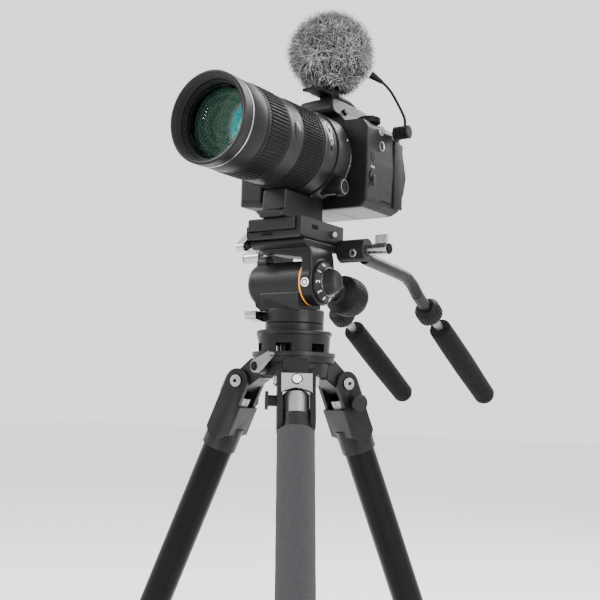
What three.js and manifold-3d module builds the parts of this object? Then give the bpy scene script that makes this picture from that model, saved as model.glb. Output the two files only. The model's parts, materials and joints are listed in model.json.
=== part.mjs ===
// A digital SLR camera with a telephoto zoom and a shoe microphone, carried by a
// two-handled fluid head on a three-legged stand. Millimetres, +Z up.
// While it is modelled, z = 0 is the flange of the levelling cup, the head's pan axis
// is x = y = 0 and the lens looks along -Y. At the end everything is moved so that the
// stand's lowest points touch z = 0 and the outline is centred on the origin.
import * as THREE from "three";
import { mergeVertices } from "three/addons/utils/BufferGeometryUtils.js";
import Module from "manifold-3d";

const wasm = await Module();
wasm.setup();

// ---- clearances ---------------------------------------------------------------------
const gap = 0.3; // between pieces that touch
const slack = 0.3; // radial clearance of a shaft or tube in its hole

// ---- stand --------------------------------------------------------------------------
const legCount = 3;
const firstLegAzimuth = 36.9; // degrees, from -Y towards +X
const legSpread = 23.4; // degrees from vertical
const hingeRadius = 56.5; // pan axis to leg hinge
const hingeDrop = 47; // leg hinge below the cup flange
const legLength = 590; // hinge to the centre of the ball foot, lower tube pushed in
const tubeRadius = 16;
const tubeWall = 2.8;
const neckRadius = 12.6; // upper tube where it runs between the shoulder's cheeks
const neckTop = 15; // hinge to the top of the neck
const shoulderLength = 75;
const cheekThickness = 5.2;
const cheekRadius = 13;
const upperTubeEnd = 490;
const lockLength = 44;
const lockWall = 4;
const lockRadius = tubeRadius + lockWall;
const lockLip = 14;
const lowerTubeTop = 120;
const lowerWall = 1.8;
const footSleeveWall = 2.4; // rubber round the end of the lower tube
const footSwell = 0.7; // ball beyond that rubber
const footSleeveDepth = 34; // ball centre to the top of that rubber
const footSeat = 6; // ball centre to the end of the lower tube
const tubeFloor = 10; // closed end of the lower tube
const tubeStop = 20; // closed top of the upper tube's bore above the lower tube
const boltRadius = 4;
const boltHeadRadius = 6.4;
const boltHeadThickness = 2.4;
const pegDrop = 21.5; // hinge to the accessory stud, along the leg
const pegRadius = 5.5;
const pegFlangeRadius = 9.2;
const pegReach = 12;
const latchWidth = 30;
const latchHeight = 20;
const latchThickness = 3;
const gripTop = 52; // foam sleeve of the first leg, from the hinge
const gripEnd = 330;
const sleeveThickness = 1.8;

// ---- crown and levelling cup ----------------------------------------------------------
const cupHeight = 17;
const cupFlangeThickness = 5;
const cupFlangeRadius = 39;
const cupRadius = 37.5;
const cupWall = 4.5;
const windowCount = 6;
const windowAzimuth = 17;
const windowWidth = 17;
const windowHeight = 8.5;
const hubRadius = 14;
const crownRadius = 43;
const crownBodyRadius = 36;
const crownDepth = 27;
const lugRadius = 11; // knuckle that the latch swings round
const lugShoulder = 82; // degrees above level where the knuckle meets the slope to the crown
const leverAzimuth = -18;
const leverDrop = 32.6;
const leverReach = 46;
const leverArm = 26;
const leverEyeRadius = 6.6;

// ---- fluid head -------------------------------------------------------------------------
const turretRadius = 30.4;
const panBaseHeight = 7;
const turretHeight = 14.6;
const tiltY = -6;
const tiltZ = 54;
const barrelRadius = 23;
const barrelLeft = -38;
const barrelRight = 22.6;
const ringGap = 2; // room for the coloured ring between barrel and drum
const drumRadius = 24;
const drumRight = 38;
const axleRadius = 8;
const axleReach = 40;
const dialRadius = 21;
const dialDepth = 17;
const capDepth = 7;
const knobX = 10; // rear locking knob
const knobZ = 56;
const knobReach = 56; // barrel to the dome
const knobRadius = 22;
const knobDome = 40;
const knobStemRadius = 8;
const knobStudRadius = 4;
const knobStudDepth = 9;
const knobDroop = 5; // degrees below level
const panLeverZ = 20;
const panLeverAzimuth = -72;
const panLeverReach = 12;
const panLeverArm = 24;
const panLeverEye = 5.4;
const panLeverTip = 4.2;
const panLeverSwing = 25; // degrees each way

// ---- plate clamp and quick-release plate ----------------------------------------------------
const clampHalfWidth = 34;
const clampFront = -43;
const clampBottom = 96;
const clampFloor = 104;
const clampTop = 117;
const leftRail = 110; // height of the low rail
const jawWidth = 7;
const railWidth = 3.4;
const plateFront = -46;
const rosetteY = 34;
const rosetteZ = 91;
const rosetteRadius = 12;
const rosetteOut = 42;
const releaseY = 14;
const releaseZ = 106;
const releaseRadius = 3.6;

// ---- pan handles ------------------------------------------------------------------------------
const handleX = 59;
const handleTubeRadius = 7;
const handleBarrelOut = 66;
const collarY = 191;
const collarZ = 41;
const gripSlope = 29.4; // degrees below level
const straightLength = 34; // tube straight before the collar
const collarLength = 22;
const collarRadius = 15;
const rodRadius = 5;
const rodInside = 12;
const rodShown = 22;
const foamLength = 164;
const foamRadius = 13.8;
const handLeverLength = 24;
const handLeverRadius = 6;

// ---- lens -----------------------------------------------------------------------------------------
const lensZ = 193;
const lensFront = -155;
const lensRear = 34.7;
const lensRimRadius = 45;
const lensRadius = 44.6;
const coreRadius = 40;
const focusFront = -117;
const focusRear = -80.5;
const zoomFront = -59;
const zoomRear = -19.5;
const collarFront = 4;
const collarRear = 28;
const collarOuter = 47;
const collarKnobZ = 156;
const collarStudRadius = 3;
const collarKnobRadius = 9.5;
const collarKnobRoot = 33; // pan axis plane to the end of the knob's stud
const collarPadOut = 38;
const collarKnobOut = 47.5;
const ringOuter = 45.4;
const frontBore = 39.5;
const glassLedge = 2.5; // the bore steps in by this much round the front glass
const glassSeat = frontBore - glassLedge;
const glassRadius = glassSeat - gap;
const glassEdge = 3;
const glassDome = 5;
const glassLead = 6; // from the glass edge forward to that step
const glassY = -136;
const footFront = -50;
const footRear = 31;
const footHalfWidth = 14;
const footRoom = 1.1; // between the lens rings and the foot under them
const footTop = lensZ - ringOuter - footRoom;
const footBase = clampTop + gap;

// ---- camera -----------------------------------------------------------------------------------------
const bodyFront = 38;
const bodyPort = 60;
const bodyGrip = -86;
const bodyBottom = 139;
const shoulderZ = 234;
const prismTop = 264;
const dialX = 46;
const dialY = 66;
const modeDialRadius = 12.5;
const modeDialHeight = 7;
const modeDialStud = 4;
const shutterX = -66;
const shutterY = 26;
const shutterRadius = 4.2;
const gripTopZ = 226;
const doorX = 14;
const doorY = 66;
const doorWidth = 38;
const doorDepth = 36;
const doorThickness = 2;
const plugY = 94;
const plugZ = 229;
const plugRadius = 7.5;
const plugLength = 22;

// The plate and its clamp end in front of the camera, whose lower corner swings past them.
const rollRoom = 1.2;
const clampRear = bodyFront - gap;
const plateRear = bodyFront - rollRoom;

// ---- microphone ----------------------------------------------------------------------------------------
const micY = 58;
const shoeHeight = 4;
const windshieldRadius = 48;
const windshieldBottom = 276;
const windshieldTop = 366;
const cordRadius = 1.5;

const rad = THREE.MathUtils.degToRad;

// ---- solids ----------------------------------------------------------------------------------------------
function toSolid(geometry) {
  const bare = geometry.index ? geometry.toNonIndexed() : geometry.clone();
  bare.deleteAttribute("normal");
  bare.deleteAttribute("uv");
  const merged = mergeVertices(bare, 1e-4);
  const corners = merged.index.array;
  const kept = [];
  for (let i = 0; i < corners.length; i += 3) {
    const [a, b, c] = [corners[i], corners[i + 1], corners[i + 2]];
    if (a !== b && b !== c && c !== a) kept.push(a, b, c);
  }
  return new wasm.Manifold(new wasm.Mesh({
    numProp: 3,
    vertProperties: new Float32Array(merged.attributes.position.array),
    triVerts: new Uint32Array(kept),
  }));
}

function toGeometry(solid) {
  const mesh = solid.getMesh();
  const geometry = new THREE.BufferGeometry();
  geometry.setAttribute("position", new THREE.BufferAttribute(new Float32Array(mesh.vertProperties), 3));
  geometry.setIndex(new THREE.BufferAttribute(new Uint32Array(mesh.triVerts), 1));
  geometry.computeVertexNormals();
  return geometry;
}

function join(...shapes) {
  return toGeometry(shapes.map(toSolid).reduce((sum, next) => sum.add(next)));
}

function cut(shape, ...tools) {
  return toGeometry(tools.map(toSolid).reduce((left, tool) => left.subtract(tool), toSolid(shape)));
}

function common(a, b) {
  return toGeometry(toSolid(a).intersect(toSolid(b)));
}

// A turned piece about +Z. The profile is a list of [radius, z] that runs upwards on the
// outside, starting and ending on the axis, or going once round a ring.
function turned(profile, segments = 20) {
  const points = profile.map(([r, z]) => new THREE.Vector2(r, z));
  const geometry = new THREE.LatheGeometry(points, segments);
  geometry.rotateX(Math.PI / 2);
  return geometry;
}

function ring(inner, outer, low, high, segments = 20) {
  return turned([[inner, low], [outer, low], [outer, high], [inner, high], [inner, low]], segments);
}

function disc(radius, low, high, segments = 20) {
  return turned([[0, low], [radius, low], [radius, high], [0, high]], segments);
}

function box(x0, x1, y0, y1, z0, z1) {
  const geometry = new THREE.BoxGeometry(x1 - x0, y1 - y0, z1 - z0);
  geometry.translate((x0 + x1) / 2, (y0 + y1) / 2, (z0 + z1) / 2);
  return geometry;
}

function shapeOf(points) {
  return new THREE.Shape(points.map(([x, y]) => new THREE.Vector2(x, y)));
}

// A flat outline of [x, z] points, thickened along Y from y0 to y1.
function slabXZ(points, y0, y1, bevel = 0) {
  const outline = Array.isArray(points) ? shapeOf(points) : points;
  const geometry = new THREE.ExtrudeGeometry(outline, {
    depth: y1 - y0 - 2 * bevel, bevelEnabled: bevel > 0, bevelSize: bevel, bevelOffset: -bevel,
    bevelThickness: bevel, bevelSegments: 1, curveSegments: 8,
  });
  geometry.rotateX(Math.PI / 2);
  geometry.translate(0, y1 - bevel, 0);
  return geometry;
}

// A flat outline of [y, z] points, thickened along X from x0 to x1.
function slabYZ(points, x0, x1, bevel = 0) {
  const outline = Array.isArray(points) ? shapeOf(points) : points;
  const geometry = new THREE.ExtrudeGeometry(outline, {
    depth: x1 - x0 - 2 * bevel, bevelEnabled: bevel > 0, bevelSize: bevel, bevelOffset: -bevel,
    bevelThickness: bevel, bevelSegments: 1, curveSegments: 8,
  });
  geometry.rotateX(Math.PI / 2);
  geometry.rotateZ(Math.PI / 2);
  geometry.translate(x0 + bevel, 0, 0);
  return geometry;
}

// A turned piece laid along +X, with its profile's z counted from x = 0.
function alongX(geometry, y, z) {
  geometry.rotateY(Math.PI / 2);
  geometry.translate(0, y, z);
  return geometry;
}

// A turned piece laid along +Y, with its profile's z counted from y = 0.
function alongY(geometry, x, z) {
  geometry.rotateX(-Math.PI / 2);
  geometry.translate(x, 0, z);
  return geometry;
}

function circlePoints(radius, sides) {
  const points = [];
  for (let i = 0; i < sides; i++) {
    const angle = (2 * Math.PI * i) / sides;
    points.push([radius * Math.cos(angle), radius * Math.sin(angle)]);
  }
  return points;
}

function tubeAlong(curve, radius, sides, steps) {
  return new THREE.ExtrudeGeometry(shapeOf(circlePoints(radius, sides)), {
    extrudePath: curve, steps, bevelEnabled: false,
  });
}

// ---- materials ----------------------------------------------------------------------------------
function paint(color, roughness, metalness) {
  return new THREE.MeshStandardMaterial({ color, roughness, metalness });
}

const finish = {
  blackMetal: paint(0x1c1c1d, 0.45, 0.6),
  greyMetal: paint(0x6a6a6b, 0.4, 0.8),
  silver: paint(0xd0d0ce, 0.25, 1),
  carbonTube: paint(0x17181a, 0.35, 0.2),
  foam: paint(0x4e4f51, 0.95, 0),
  blackFoam: paint(0x222223, 0.95, 0),
  rubber: paint(0x1a1a1a, 0.9, 0),
  lensBlack: paint(0x202122, 0.4, 0.2),
  glass: paint(0x14474b, 0.05, 0),
  bodyBlack: paint(0x18191a, 0.6, 0.1),
  doorGrey: paint(0x8b8c8d, 0.5, 0.1),
  fur: paint(0x7c7c7b, 1, 0),
  cord: paint(0x2b2b2c, 0.6, 0),
};

const model = new THREE.Group();

function add(name, geometry, material, parent = model) {
  const clean = toGeometry(toSolid(geometry));
  const mesh = new THREE.Mesh(clean, material);
  mesh.name = name;
  parent.add(mesh);
  return mesh;
}

// ---- legs: built hanging straight down from the hinge, +X away from the pan axis ----------------
const cheekInner = neckRadius + gap + slack;
const cheekOuter = cheekInner + cheekThickness;
const lugHalfWidth = cheekInner - gap;
const tubeTop = shoulderLength + gap;
const tubeBore = tubeRadius - tubeWall;
const lowerRadius = tubeBore - slack;

// The piece that carries the tube: two cheeks on the hinge, a web behind and a collar below.
// Where the foam sleeve goes over it, the cheeks end early and the collar is slimmer.
function shoulder(sleeved) {
  const cheekEnd = sleeved ? gripTop - gap : shoulderLength - 12;
  const collarOuterRadius = sleeved ? tubeRadius - 0.1 : cheekOuter;
  const outline = new THREE.Shape();
  outline.moveTo(-cheekRadius, 0);
  outline.absarc(0, 0, cheekRadius, Math.PI, 0, true);
  outline.lineTo(cheekRadius, -cheekEnd + 6);
  outline.lineTo(cheekRadius - 5, -cheekEnd);
  outline.lineTo(-cheekRadius + 5, -cheekEnd);
  outline.lineTo(-cheekRadius, -cheekEnd + 6);
  outline.closePath();
  const left = slabXZ(outline, cheekInner, cheekOuter);
  const right = slabXZ(outline, -cheekOuter, -cheekInner);
  const collarTop = cheekEnd - 14;
  const collar = ring(neckRadius + slack, collarOuterRadius, -shoulderLength, -collarTop);
  const web = box(-cheekRadius - 3.2, -cheekRadius, -cheekOuter, cheekOuter, -cheekEnd + 8, -24);
  const webSides = [1, -1].map((side) => box(
    -cheekRadius - 1, -cheekRadius + 3,
    side > 0 ? cheekInner : -cheekOuter, side > 0 ? cheekOuter : -cheekInner, -cheekEnd + 8, -24,
  ));
  const peg = turned([
    [0, 0], [pegRadius, 0], [pegRadius, pegReach - 3], [pegFlangeRadius, pegReach - 3],
    [pegFlangeRadius, pegReach], [0, pegReach],
  ], 12);
  peg.rotateX(Math.PI / 2);
  peg.translate(0, -cheekOuter + 0.5, -pegDrop);
  const hole = disc(boltRadius + slack, -2 * cheekOuter, 2 * cheekOuter, 12);
  hole.rotateX(Math.PI / 2);
  return cut(join(left, right, collar, web, ...webSides, peg), hole);
}

function pivotBolt() {
  const half = cheekOuter + gap;
  const bolt = turned([
    [0, -half - boltHeadThickness], [boltHeadRadius, -half - boltHeadThickness], [boltHeadRadius, -half],
    [boltRadius, -half], [boltRadius, half], [boltHeadRadius, half],
    [boltHeadRadius, half + boltHeadThickness], [0, half + boltHeadThickness],
  ], 12);
  bolt.rotateX(Math.PI / 2);
  return bolt;
}

// Pull-out plate that frees the leg from its spread stops, with an arched lower edge.
function angleLatch() {
  const outline = new THREE.Shape();
  const half = latchWidth / 2;
  outline.moveTo(-half, 1);
  outline.lineTo(half, 1);
  outline.lineTo(half, -latchHeight + 1);
  outline.quadraticCurveTo(0, -latchHeight + 11, -half, -latchHeight + 1);
  outline.closePath();
  const face = cheekRadius + gap;
  const plate = slabYZ(outline, face, face + latchThickness);
  const boss = disc(5.6, face + latchThickness - 0.2, face + latchThickness + 0.9, 16);
  return join(plate, alongX(boss, 0, -5.5));
}

function upperTube() {
  return turned([
    [0, -lowerTubeTop + tubeStop], [tubeBore, -lowerTubeTop + tubeStop], [tubeBore, -upperTubeEnd],
    [tubeRadius, -upperTubeEnd], [tubeRadius, -tubeTop], [neckRadius, -tubeTop],
    [neckRadius, -neckTop], [0, -neckTop],
  ], 20);
}

function twistLock() {
  const top = upperTubeEnd - lockLength + lockLip;
  const seat = upperTubeEnd + gap;
  const bottom = seat + lockLip;
  return turned([
    [lowerRadius + slack, -bottom], [lockRadius - 2.5, -bottom], [lockRadius, -bottom + 3],
    [lockRadius, -top - 3], [tubeRadius + 1.6, -top], [tubeRadius + slack, -top],
    [tubeRadius + slack, -seat], [lowerRadius + slack, -seat], [lowerRadius + slack, -bottom],
  ], 20);
}

const footSleeveTop = legLength - footSleeveDepth;
const lowerTubeEnd = legLength - footSeat;
const footRadius = lowerRadius + footSleeveWall + footSwell;

function lowerTube() {
  return turned([
    [0, -lowerTubeEnd], [lowerRadius, -lowerTubeEnd], [lowerRadius, -lowerTubeTop],
    [lowerRadius - lowerWall, -lowerTubeTop], [lowerRadius - lowerWall, -lowerTubeEnd + tubeFloor],
    [0, -lowerTubeEnd + tubeFloor],
  ], 16);
}

function ballFoot() {
  const profile = [];
  const steps = 5;
  const neckAngle = Math.acos((lowerRadius + footSleeveWall) / footRadius);
  for (let i = 0; i <= steps; i++) {
    const angle = -Math.PI / 2 + ((Math.PI / 2 + neckAngle) * i) / steps;
    profile.push([i === 0 ? 0 : footRadius * Math.cos(angle), -legLength + footRadius * Math.sin(angle)]);
  }
  profile.push([lowerRadius + footSleeveWall, -footSleeveTop]);
  profile.push([lowerRadius + gap, -footSleeveTop]);
  profile.push([lowerRadius + gap, -lowerTubeEnd - gap]);
  profile.push([0, -lowerTubeEnd - gap]);
  return turned(profile, 16);
}

function foamSleeve() {
  const inner = tubeRadius + gap;
  const outer = tubeRadius + gap + sleeveThickness;
  return ring(inner, outer, -gripEnd, -gripTop);
}

const legNames = ["front_leg", "port_leg", "side_leg"];

function legAzimuth(index) {
  return firstLegAzimuth + (360 / legCount) * index;
}

function buildLeg(index) {
  const name = legNames[index];
  const azimuth = rad(legAzimuth(index));
  const hinge = new THREE.Group();
  hinge.position.set(hingeRadius * Math.sin(azimuth), -hingeRadius * Math.cos(azimuth), -hingeDrop);
  hinge.rotation.z = azimuth - Math.PI / 2;
  model.add(hinge);
  add(`${name}_pivot_bolt`, pivotBolt(), finish.silver, hinge);
  const leg = new THREE.Group();
  leg.rotation.y = -rad(legSpread);
  hinge.add(leg);
  const sleeved = index === 0;
  add(`${name}_shoulder`, shoulder(sleeved), finish.blackMetal, leg);
  add(`${name}_angle_latch`, angleLatch(), finish.silver, leg);
  add(`${name}_upper_tube`, upperTube(), finish.carbonTube, leg);
  add(`${name}_twist_lock`, twistLock(), finish.rubber, leg);
  add(`${name}_lower_tube`, lowerTube(), finish.carbonTube, leg);
  add(`${name}_foot`, ballFoot(), finish.rubber, leg);
  if (sleeved) add(`${name}_foam_sleeve`, foamSleeve(), finish.foam, leg);
}

// ---- crown, levelling cup and its clamp lever -----------------------------------------------------
const crownTop = -cupHeight - gap;

function turnAbout(geometry, azimuth) {
  geometry.rotateZ(rad(azimuth) - Math.PI / 2);
  return geometry;
}

function crown() {
  const low = crownTop - crownDepth;
  const plate = turned([
    [0, low], [crownBodyRadius - 3, low], [crownBodyRadius, low + 3],
    [crownBodyRadius, crownTop - 11], [crownRadius - 1, crownTop - 10], [crownRadius - 1, crownTop - 4.5],
    [crownRadius, crownTop - 4], [crownRadius, crownTop], [0, crownTop],
  ], 32);
  const lugs = [];
  const holes = [];
  for (let i = 0; i < legCount; i++) {
    const outline = new THREE.Shape();
    outline.moveTo(crownBodyRadius - 6, low + 2);
    outline.lineTo(crownBodyRadius - 6, crownTop - 6);
    outline.lineTo(crownRadius, crownTop - 6);
    outline.absarc(hingeRadius, -hingeDrop, lugRadius, rad(lugShoulder), rad(-135), true);
    outline.closePath();
    lugs.push(turnAbout(slabXZ(outline, -lugHalfWidth, lugHalfWidth), legAzimuth(i)));
    const hole = disc(boltRadius + slack, -2 * cheekOuter, 2 * cheekOuter, 12);
    hole.rotateX(Math.PI / 2);
    hole.translate(hingeRadius, 0, -hingeDrop);
    holes.push(turnAbout(hole, legAzimuth(i)));
  }
  const boss = turned([
    [0, crownBodyRadius - 8], [leverEyeRadius + 1, crownBodyRadius - 8],
    [leverEyeRadius + 1, leverReach - 2], [0, leverReach - 2],
  ], 20);
  boss.rotateY(Math.PI / 2);
  boss.translate(0, 0, -leverDrop);
  return cut(join(plate, ...lugs, turnAbout(boss, leverAzimuth)), ...holes);
}

// Windowed cup with its flange, and on it the fixed tier that the turning base stands on.
function levellingCup() {
  const shell = turned([
    [cupRadius - cupWall, -cupHeight], [cupRadius - 1, -cupHeight], [cupRadius, 0],
    [cupFlangeRadius, 0.8], [cupFlangeRadius, cupFlangeThickness - 1],
    [cupFlangeRadius - 1, cupFlangeThickness], [turretRadius, cupFlangeThickness],
    [turretRadius, cupFlangeThickness + panBaseHeight], [0, cupFlangeThickness + panBaseHeight],
    [0, -cupHeight], [hubRadius, -cupHeight], [hubRadius, 0], [cupRadius - cupWall, 0],
    [cupRadius - cupWall, -cupHeight],
  ], 36);
  const windows = [];
  for (let i = 0; i < windowCount; i++) {
    const opening = box(
      cupRadius - cupWall - 2, cupRadius + 3, -windowWidth / 2, windowWidth / 2,
      -cupHeight - 1, -cupHeight + windowHeight,
    );
    windows.push(turnAbout(opening, windowAzimuth + (360 / windowCount) * i));
  }
  return cut(shell, ...windows);
}

// Eye, arm and rounded tip of a clamp lever, lying in the YZ plane at the end of its stud.
function leverBlade(eyeRadius, arm, tipRadius, slope, x0, x1) {
  const eye = alongX(disc(eyeRadius, x0, x1, 20), 0, 0);
  const tip = alongX(disc(tipRadius, x0, x1, 14), arm, 0);
  const blade = slabYZ([
    [0, -eyeRadius], [arm, -tipRadius], [arm, tipRadius], [0, eyeRadius],
  ], x0, x1);
  const lever = join(eye, blade, tip);
  lever.rotateX(rad(slope));
  return lever;
}

function cupClampLever() {
  const lever = leverBlade(leverEyeRadius, leverArm, 2.6, 27, leverReach - 2 + gap, leverReach + 4);
  lever.translate(0, 0, -leverDrop);
  return turnAbout(lever, leverAzimuth);
}

// ---- fluid head ------------------------------------------------------------------------------------
const turretBottom = cupFlangeThickness + panBaseHeight + gap;
const turretTop = turretBottom + turretHeight;

// Turning base, its pedestal and the fixed barrel that the tilting drum's axle runs in.
function headHousing() {
  const turret = turned([
    [0, turretBottom], [turretRadius - 1, turretBottom], [turretRadius, turretBottom + 1],
    [turretRadius, turretTop - 1], [turretRadius - 1, turretTop], [0, turretTop],
  ], 32);
  const barrel = alongX(turned([
    [0, barrelLeft], [barrelRadius - 1, barrelLeft], [barrelRadius, barrelLeft + 1],
    [barrelRadius, barrelRight], [0, barrelRight],
  ], 28), tiltY, tiltZ);
  const pedestal = slabYZ([
    [-turretRadius + 4, turretTop - 2], [15, turretTop - 2], [15, tiltZ - 8], [8, tiltZ],
    [-20, tiltZ], [-turretRadius + 3, tiltZ - 13],
  ], -26, barrelRight - 1);
  const sidePedestal = slabYZ([
    [-18, turretTop - 1], [10, turretTop - 1], [12, tiltZ], [-24, tiltZ], [-25, tiltZ - 12],
  ], barrelLeft + 2, -20);
  const lug = alongX(disc(8, barrelLeft + 0.5, barrelLeft + 12, 18), tiltY - 4, tiltZ + barrelRadius - 1);
  const bore = alongX(disc(axleRadius + slack, barrelRight - axleReach, barrelRight + 5, 20), tiltY, tiltZ);
  const knobHole = alongKnob(disc(knobStudRadius + slack, -knobStudDepth - gap, 10, 14));
  const stud = disc(5.4, turretRadius - 4, turretRadius + 3, 16);
  stud.rotateY(Math.PI / 2);
  stud.translate(0, 0, panLeverZ);
  const whole = join(turret, barrel, pedestal, sidePedestal, lug, turnAbout(stud, panLeverAzimuth));
  return cut(whole, bore, knobHole, panLeverRoom());
}

function counterbalanceCap() {
  const rim = barrelRadius - 2;
  return alongX(turned([
    [0, barrelLeft - gap - capDepth], [rim - 5, barrelLeft - gap - capDepth],
    [rim - 1, barrelLeft - gap - capDepth + 3], [rim, barrelLeft - gap - 2],
    [rim, barrelLeft - gap], [0, barrelLeft - gap],
  ], 24), tiltY, tiltZ);
}

// The space beside the pedestal that the pan lever swings through.
function panLeverRoom() {
  const start = turretRadius + 3;
  const reach = panLeverArm + panLeverTip + slack;
  const rise = reach * Math.tan(rad(panLeverSwing)) + panLeverTip + 1;
  const room = slabYZ([
    [0, -panLeverEye - slack], [reach, -rise], [reach, rise], [0, panLeverEye + 1.5],
  ], start, start + panLeverReach + 2 * gap);
  room.translate(0, 0, panLeverZ);
  return turnAbout(room, panLeverAzimuth);
}

function panLockLever() {
  const start = turretRadius + 3 + gap;
  const lever = leverBlade(panLeverEye, panLeverArm, panLeverTip, 0, start, start + panLeverReach);
  lever.translate(0, 0, panLeverZ);
  return turnAbout(lever, panLeverAzimuth);
}

// A turned piece laid along the rear knob's axis, its z counted from the barrel's surface.
function alongKnob(geometry) {
  geometry.rotateX(-Math.PI / 2 - rad(knobDroop));
  geometry.translate(knobX, tiltY + barrelRadius + 1, knobZ);
  return geometry;
}

// Dome knob behind the head, on a stud that screws into the barrel.
function rearKnob() {
  const dome = [];
  const steps = 4;
  for (let i = 0; i <= steps; i++) {
    const angle = (Math.PI / 2) * (i / steps);
    const r = i === steps ? 0 : knobRadius * Math.cos(angle);
    dome.push([r, knobReach + knobDome - knobRadius + knobRadius * Math.sin(angle)]);
  }
  return alongKnob(turned([
    [0, -knobStudDepth], [knobStudRadius, -knobStudDepth], [knobStudRadius, gap],
    [knobStemRadius, gap], [knobStemRadius, knobReach - 16], [knobStemRadius + 3, knobReach - 14],
    [knobStemRadius + 3, knobReach - 4], [knobRadius - 4, knobReach], [knobRadius, knobReach + 6],
    ...dome,
  ], 20));
}

// Drum, swept neck and top plate in one casting, with the tilt axle on its inner side.
function tiltCradle() {
  const drumLeft = barrelRight + ringGap;
  const drum = alongX(turned([
    [0, drumLeft], [drumRadius, drumLeft], [drumRadius, drumRight - 1.5], [drumRadius - 1.5, drumRight],
    [0, drumRight],
  ], 28), tiltY, tiltZ);
  const axle = alongX(disc(axleRadius, barrelRight - axleReach + 2, drumLeft + 1, 20), tiltY, tiltZ);
  const under = tiltZ + barrelRadius + 3;
  const neck = new THREE.Shape();
  neck.moveTo(drumLeft, tiltZ);
  neck.lineTo(drumRight, tiltZ);
  neck.quadraticCurveTo(drumRight, clampBottom - 14, clampHalfWidth, clampBottom - 8);
  neck.lineTo(-clampHalfWidth + 4, clampBottom - 8);
  neck.lineTo(-clampHalfWidth + 10, clampBottom - 11);
  neck.lineTo(drumLeft - 10, under);
  neck.lineTo(drumLeft, under - 1);
  neck.closePath();
  const sweep = slabXZ(neck, tiltY - drumRadius + 2, tiltY + drumRadius - 2, 1);
  const top = clampBottom - gap;
  const deck = slabYZ([
    [clampFront + 6, top], [clampRear - 5, top], [clampRear - 5, top - 4], [clampRear - 12, top - 8],
    [clampFront + 12, top - 8], [clampFront + 6, top - 4],
  ], -clampHalfWidth, clampHalfWidth, 0.6);
  return join(drum, axle, sweep, deck);
}

function dragDial() {
  const start = drumRight + gap;
  return alongX(turned([
    [0, start], [dialRadius, start], [dialRadius, start + 2.5], [dialRadius - 3.5, start + 6],
    [dialRadius - 5, start + 6.5], [dialRadius - 9, start + dialDepth - 3],
    [dialRadius - 12, start + dialDepth], [0, start + dialDepth],
  ], 24), tiltY, tiltZ);
}

// ---- plate clamp and plate -----------------------------------------------------------------------
const plateLeft = -clampHalfWidth + railWidth + gap;
const plateRight = clampHalfWidth - jawWidth - gap;

function plateClamp() {
  const block = slabXZ([
    [-clampHalfWidth, clampBottom + 3], [-clampHalfWidth + 3, clampBottom],
    [clampHalfWidth - 3, clampBottom], [clampHalfWidth, clampBottom + 3],
    [clampHalfWidth, clampTop], [clampHalfWidth - jawWidth, clampTop],
    [clampHalfWidth - jawWidth, clampFloor], [-clampHalfWidth + railWidth, clampFloor],
    [-clampHalfWidth + railWidth, leftRail], [-clampHalfWidth, leftRail],
  ], clampFront, clampRear, 0.6);
  const rosettes = [1, -1].map((side) => {
    const lug = disc(rosetteRadius, clampHalfWidth - 9, rosetteOut, 24);
    if (side < 0) lug.rotateY(Math.PI);
    return alongX(lug, rosetteY, rosetteZ);
  });
  // Below the block the lugs stand outside the cradle that carries it.
  const cradleRoom = box(
    -clampHalfWidth - gap, clampHalfWidth + gap, rosetteY - rosetteRadius - 1, rosetteY + rosetteRadius + 1,
    rosetteZ - rosetteRadius - 1, clampBottom,
  );
  const lugs = rosettes.map((lug) => cut(lug, cradleRoom));
  const pocket = alongX(
    disc(releaseRadius + slack, clampHalfWidth - 5, clampHalfWidth + 5, 16), releaseY, releaseZ,
  );
  const leverHole = alongX(
    disc(4, -clampHalfWidth - 5, -clampHalfWidth + 3, 14), clampFront + 15, clampBottom + 4,
  );
  return cut(join(block, ...lugs), pocket, leverHole);
}

function releaseButton() {
  return alongX(turned([
    [0, clampHalfWidth - 1.5], [releaseRadius, clampHalfWidth - 1.5], [releaseRadius, clampHalfWidth + 4],
    [releaseRadius - 0.8, clampHalfWidth + 5], [0, clampHalfWidth + 5],
  ], 16), releaseY, releaseZ);
}

function plateLockLever() {
  const lever = leverBlade(6.4, 18, 4.6, -35, clampHalfWidth + gap, clampHalfWidth + 10);
  const stud = alongX(disc(3.6, clampHalfWidth - 2, clampHalfWidth + 1, 14), 0, 0);
  const whole = join(lever, stud);
  whole.rotateZ(Math.PI);
  whole.translate(0, clampFront + 15, clampBottom + 4);
  return whole;
}

function quickPlate() {
  return slabXZ([
    [plateLeft, clampFloor + gap], [plateRight, clampFloor + gap], [plateRight, clampTop],
    [plateLeft, clampTop],
  ], plateFront, plateRear, 1);
}

// ---- pan handles: built on the +X side, the other one is its mirror image ---------------------------
function handlePoint(distance) {
  const slope = rad(gripSlope);
  return new THREE.Vector3(0, collarY + distance * Math.cos(slope), collarZ - distance * Math.sin(slope));
}

function alongHandle(geometry) {
  geometry.rotateX(-Math.PI / 2 - rad(gripSlope));
  geometry.translate(handleX, collarY, collarZ);
  return geometry;
}

function mirrored(geometry) {
  const copy = toGeometry(toSolid(geometry).mirror([1, 0, 0]));
  return copy;
}

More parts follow.
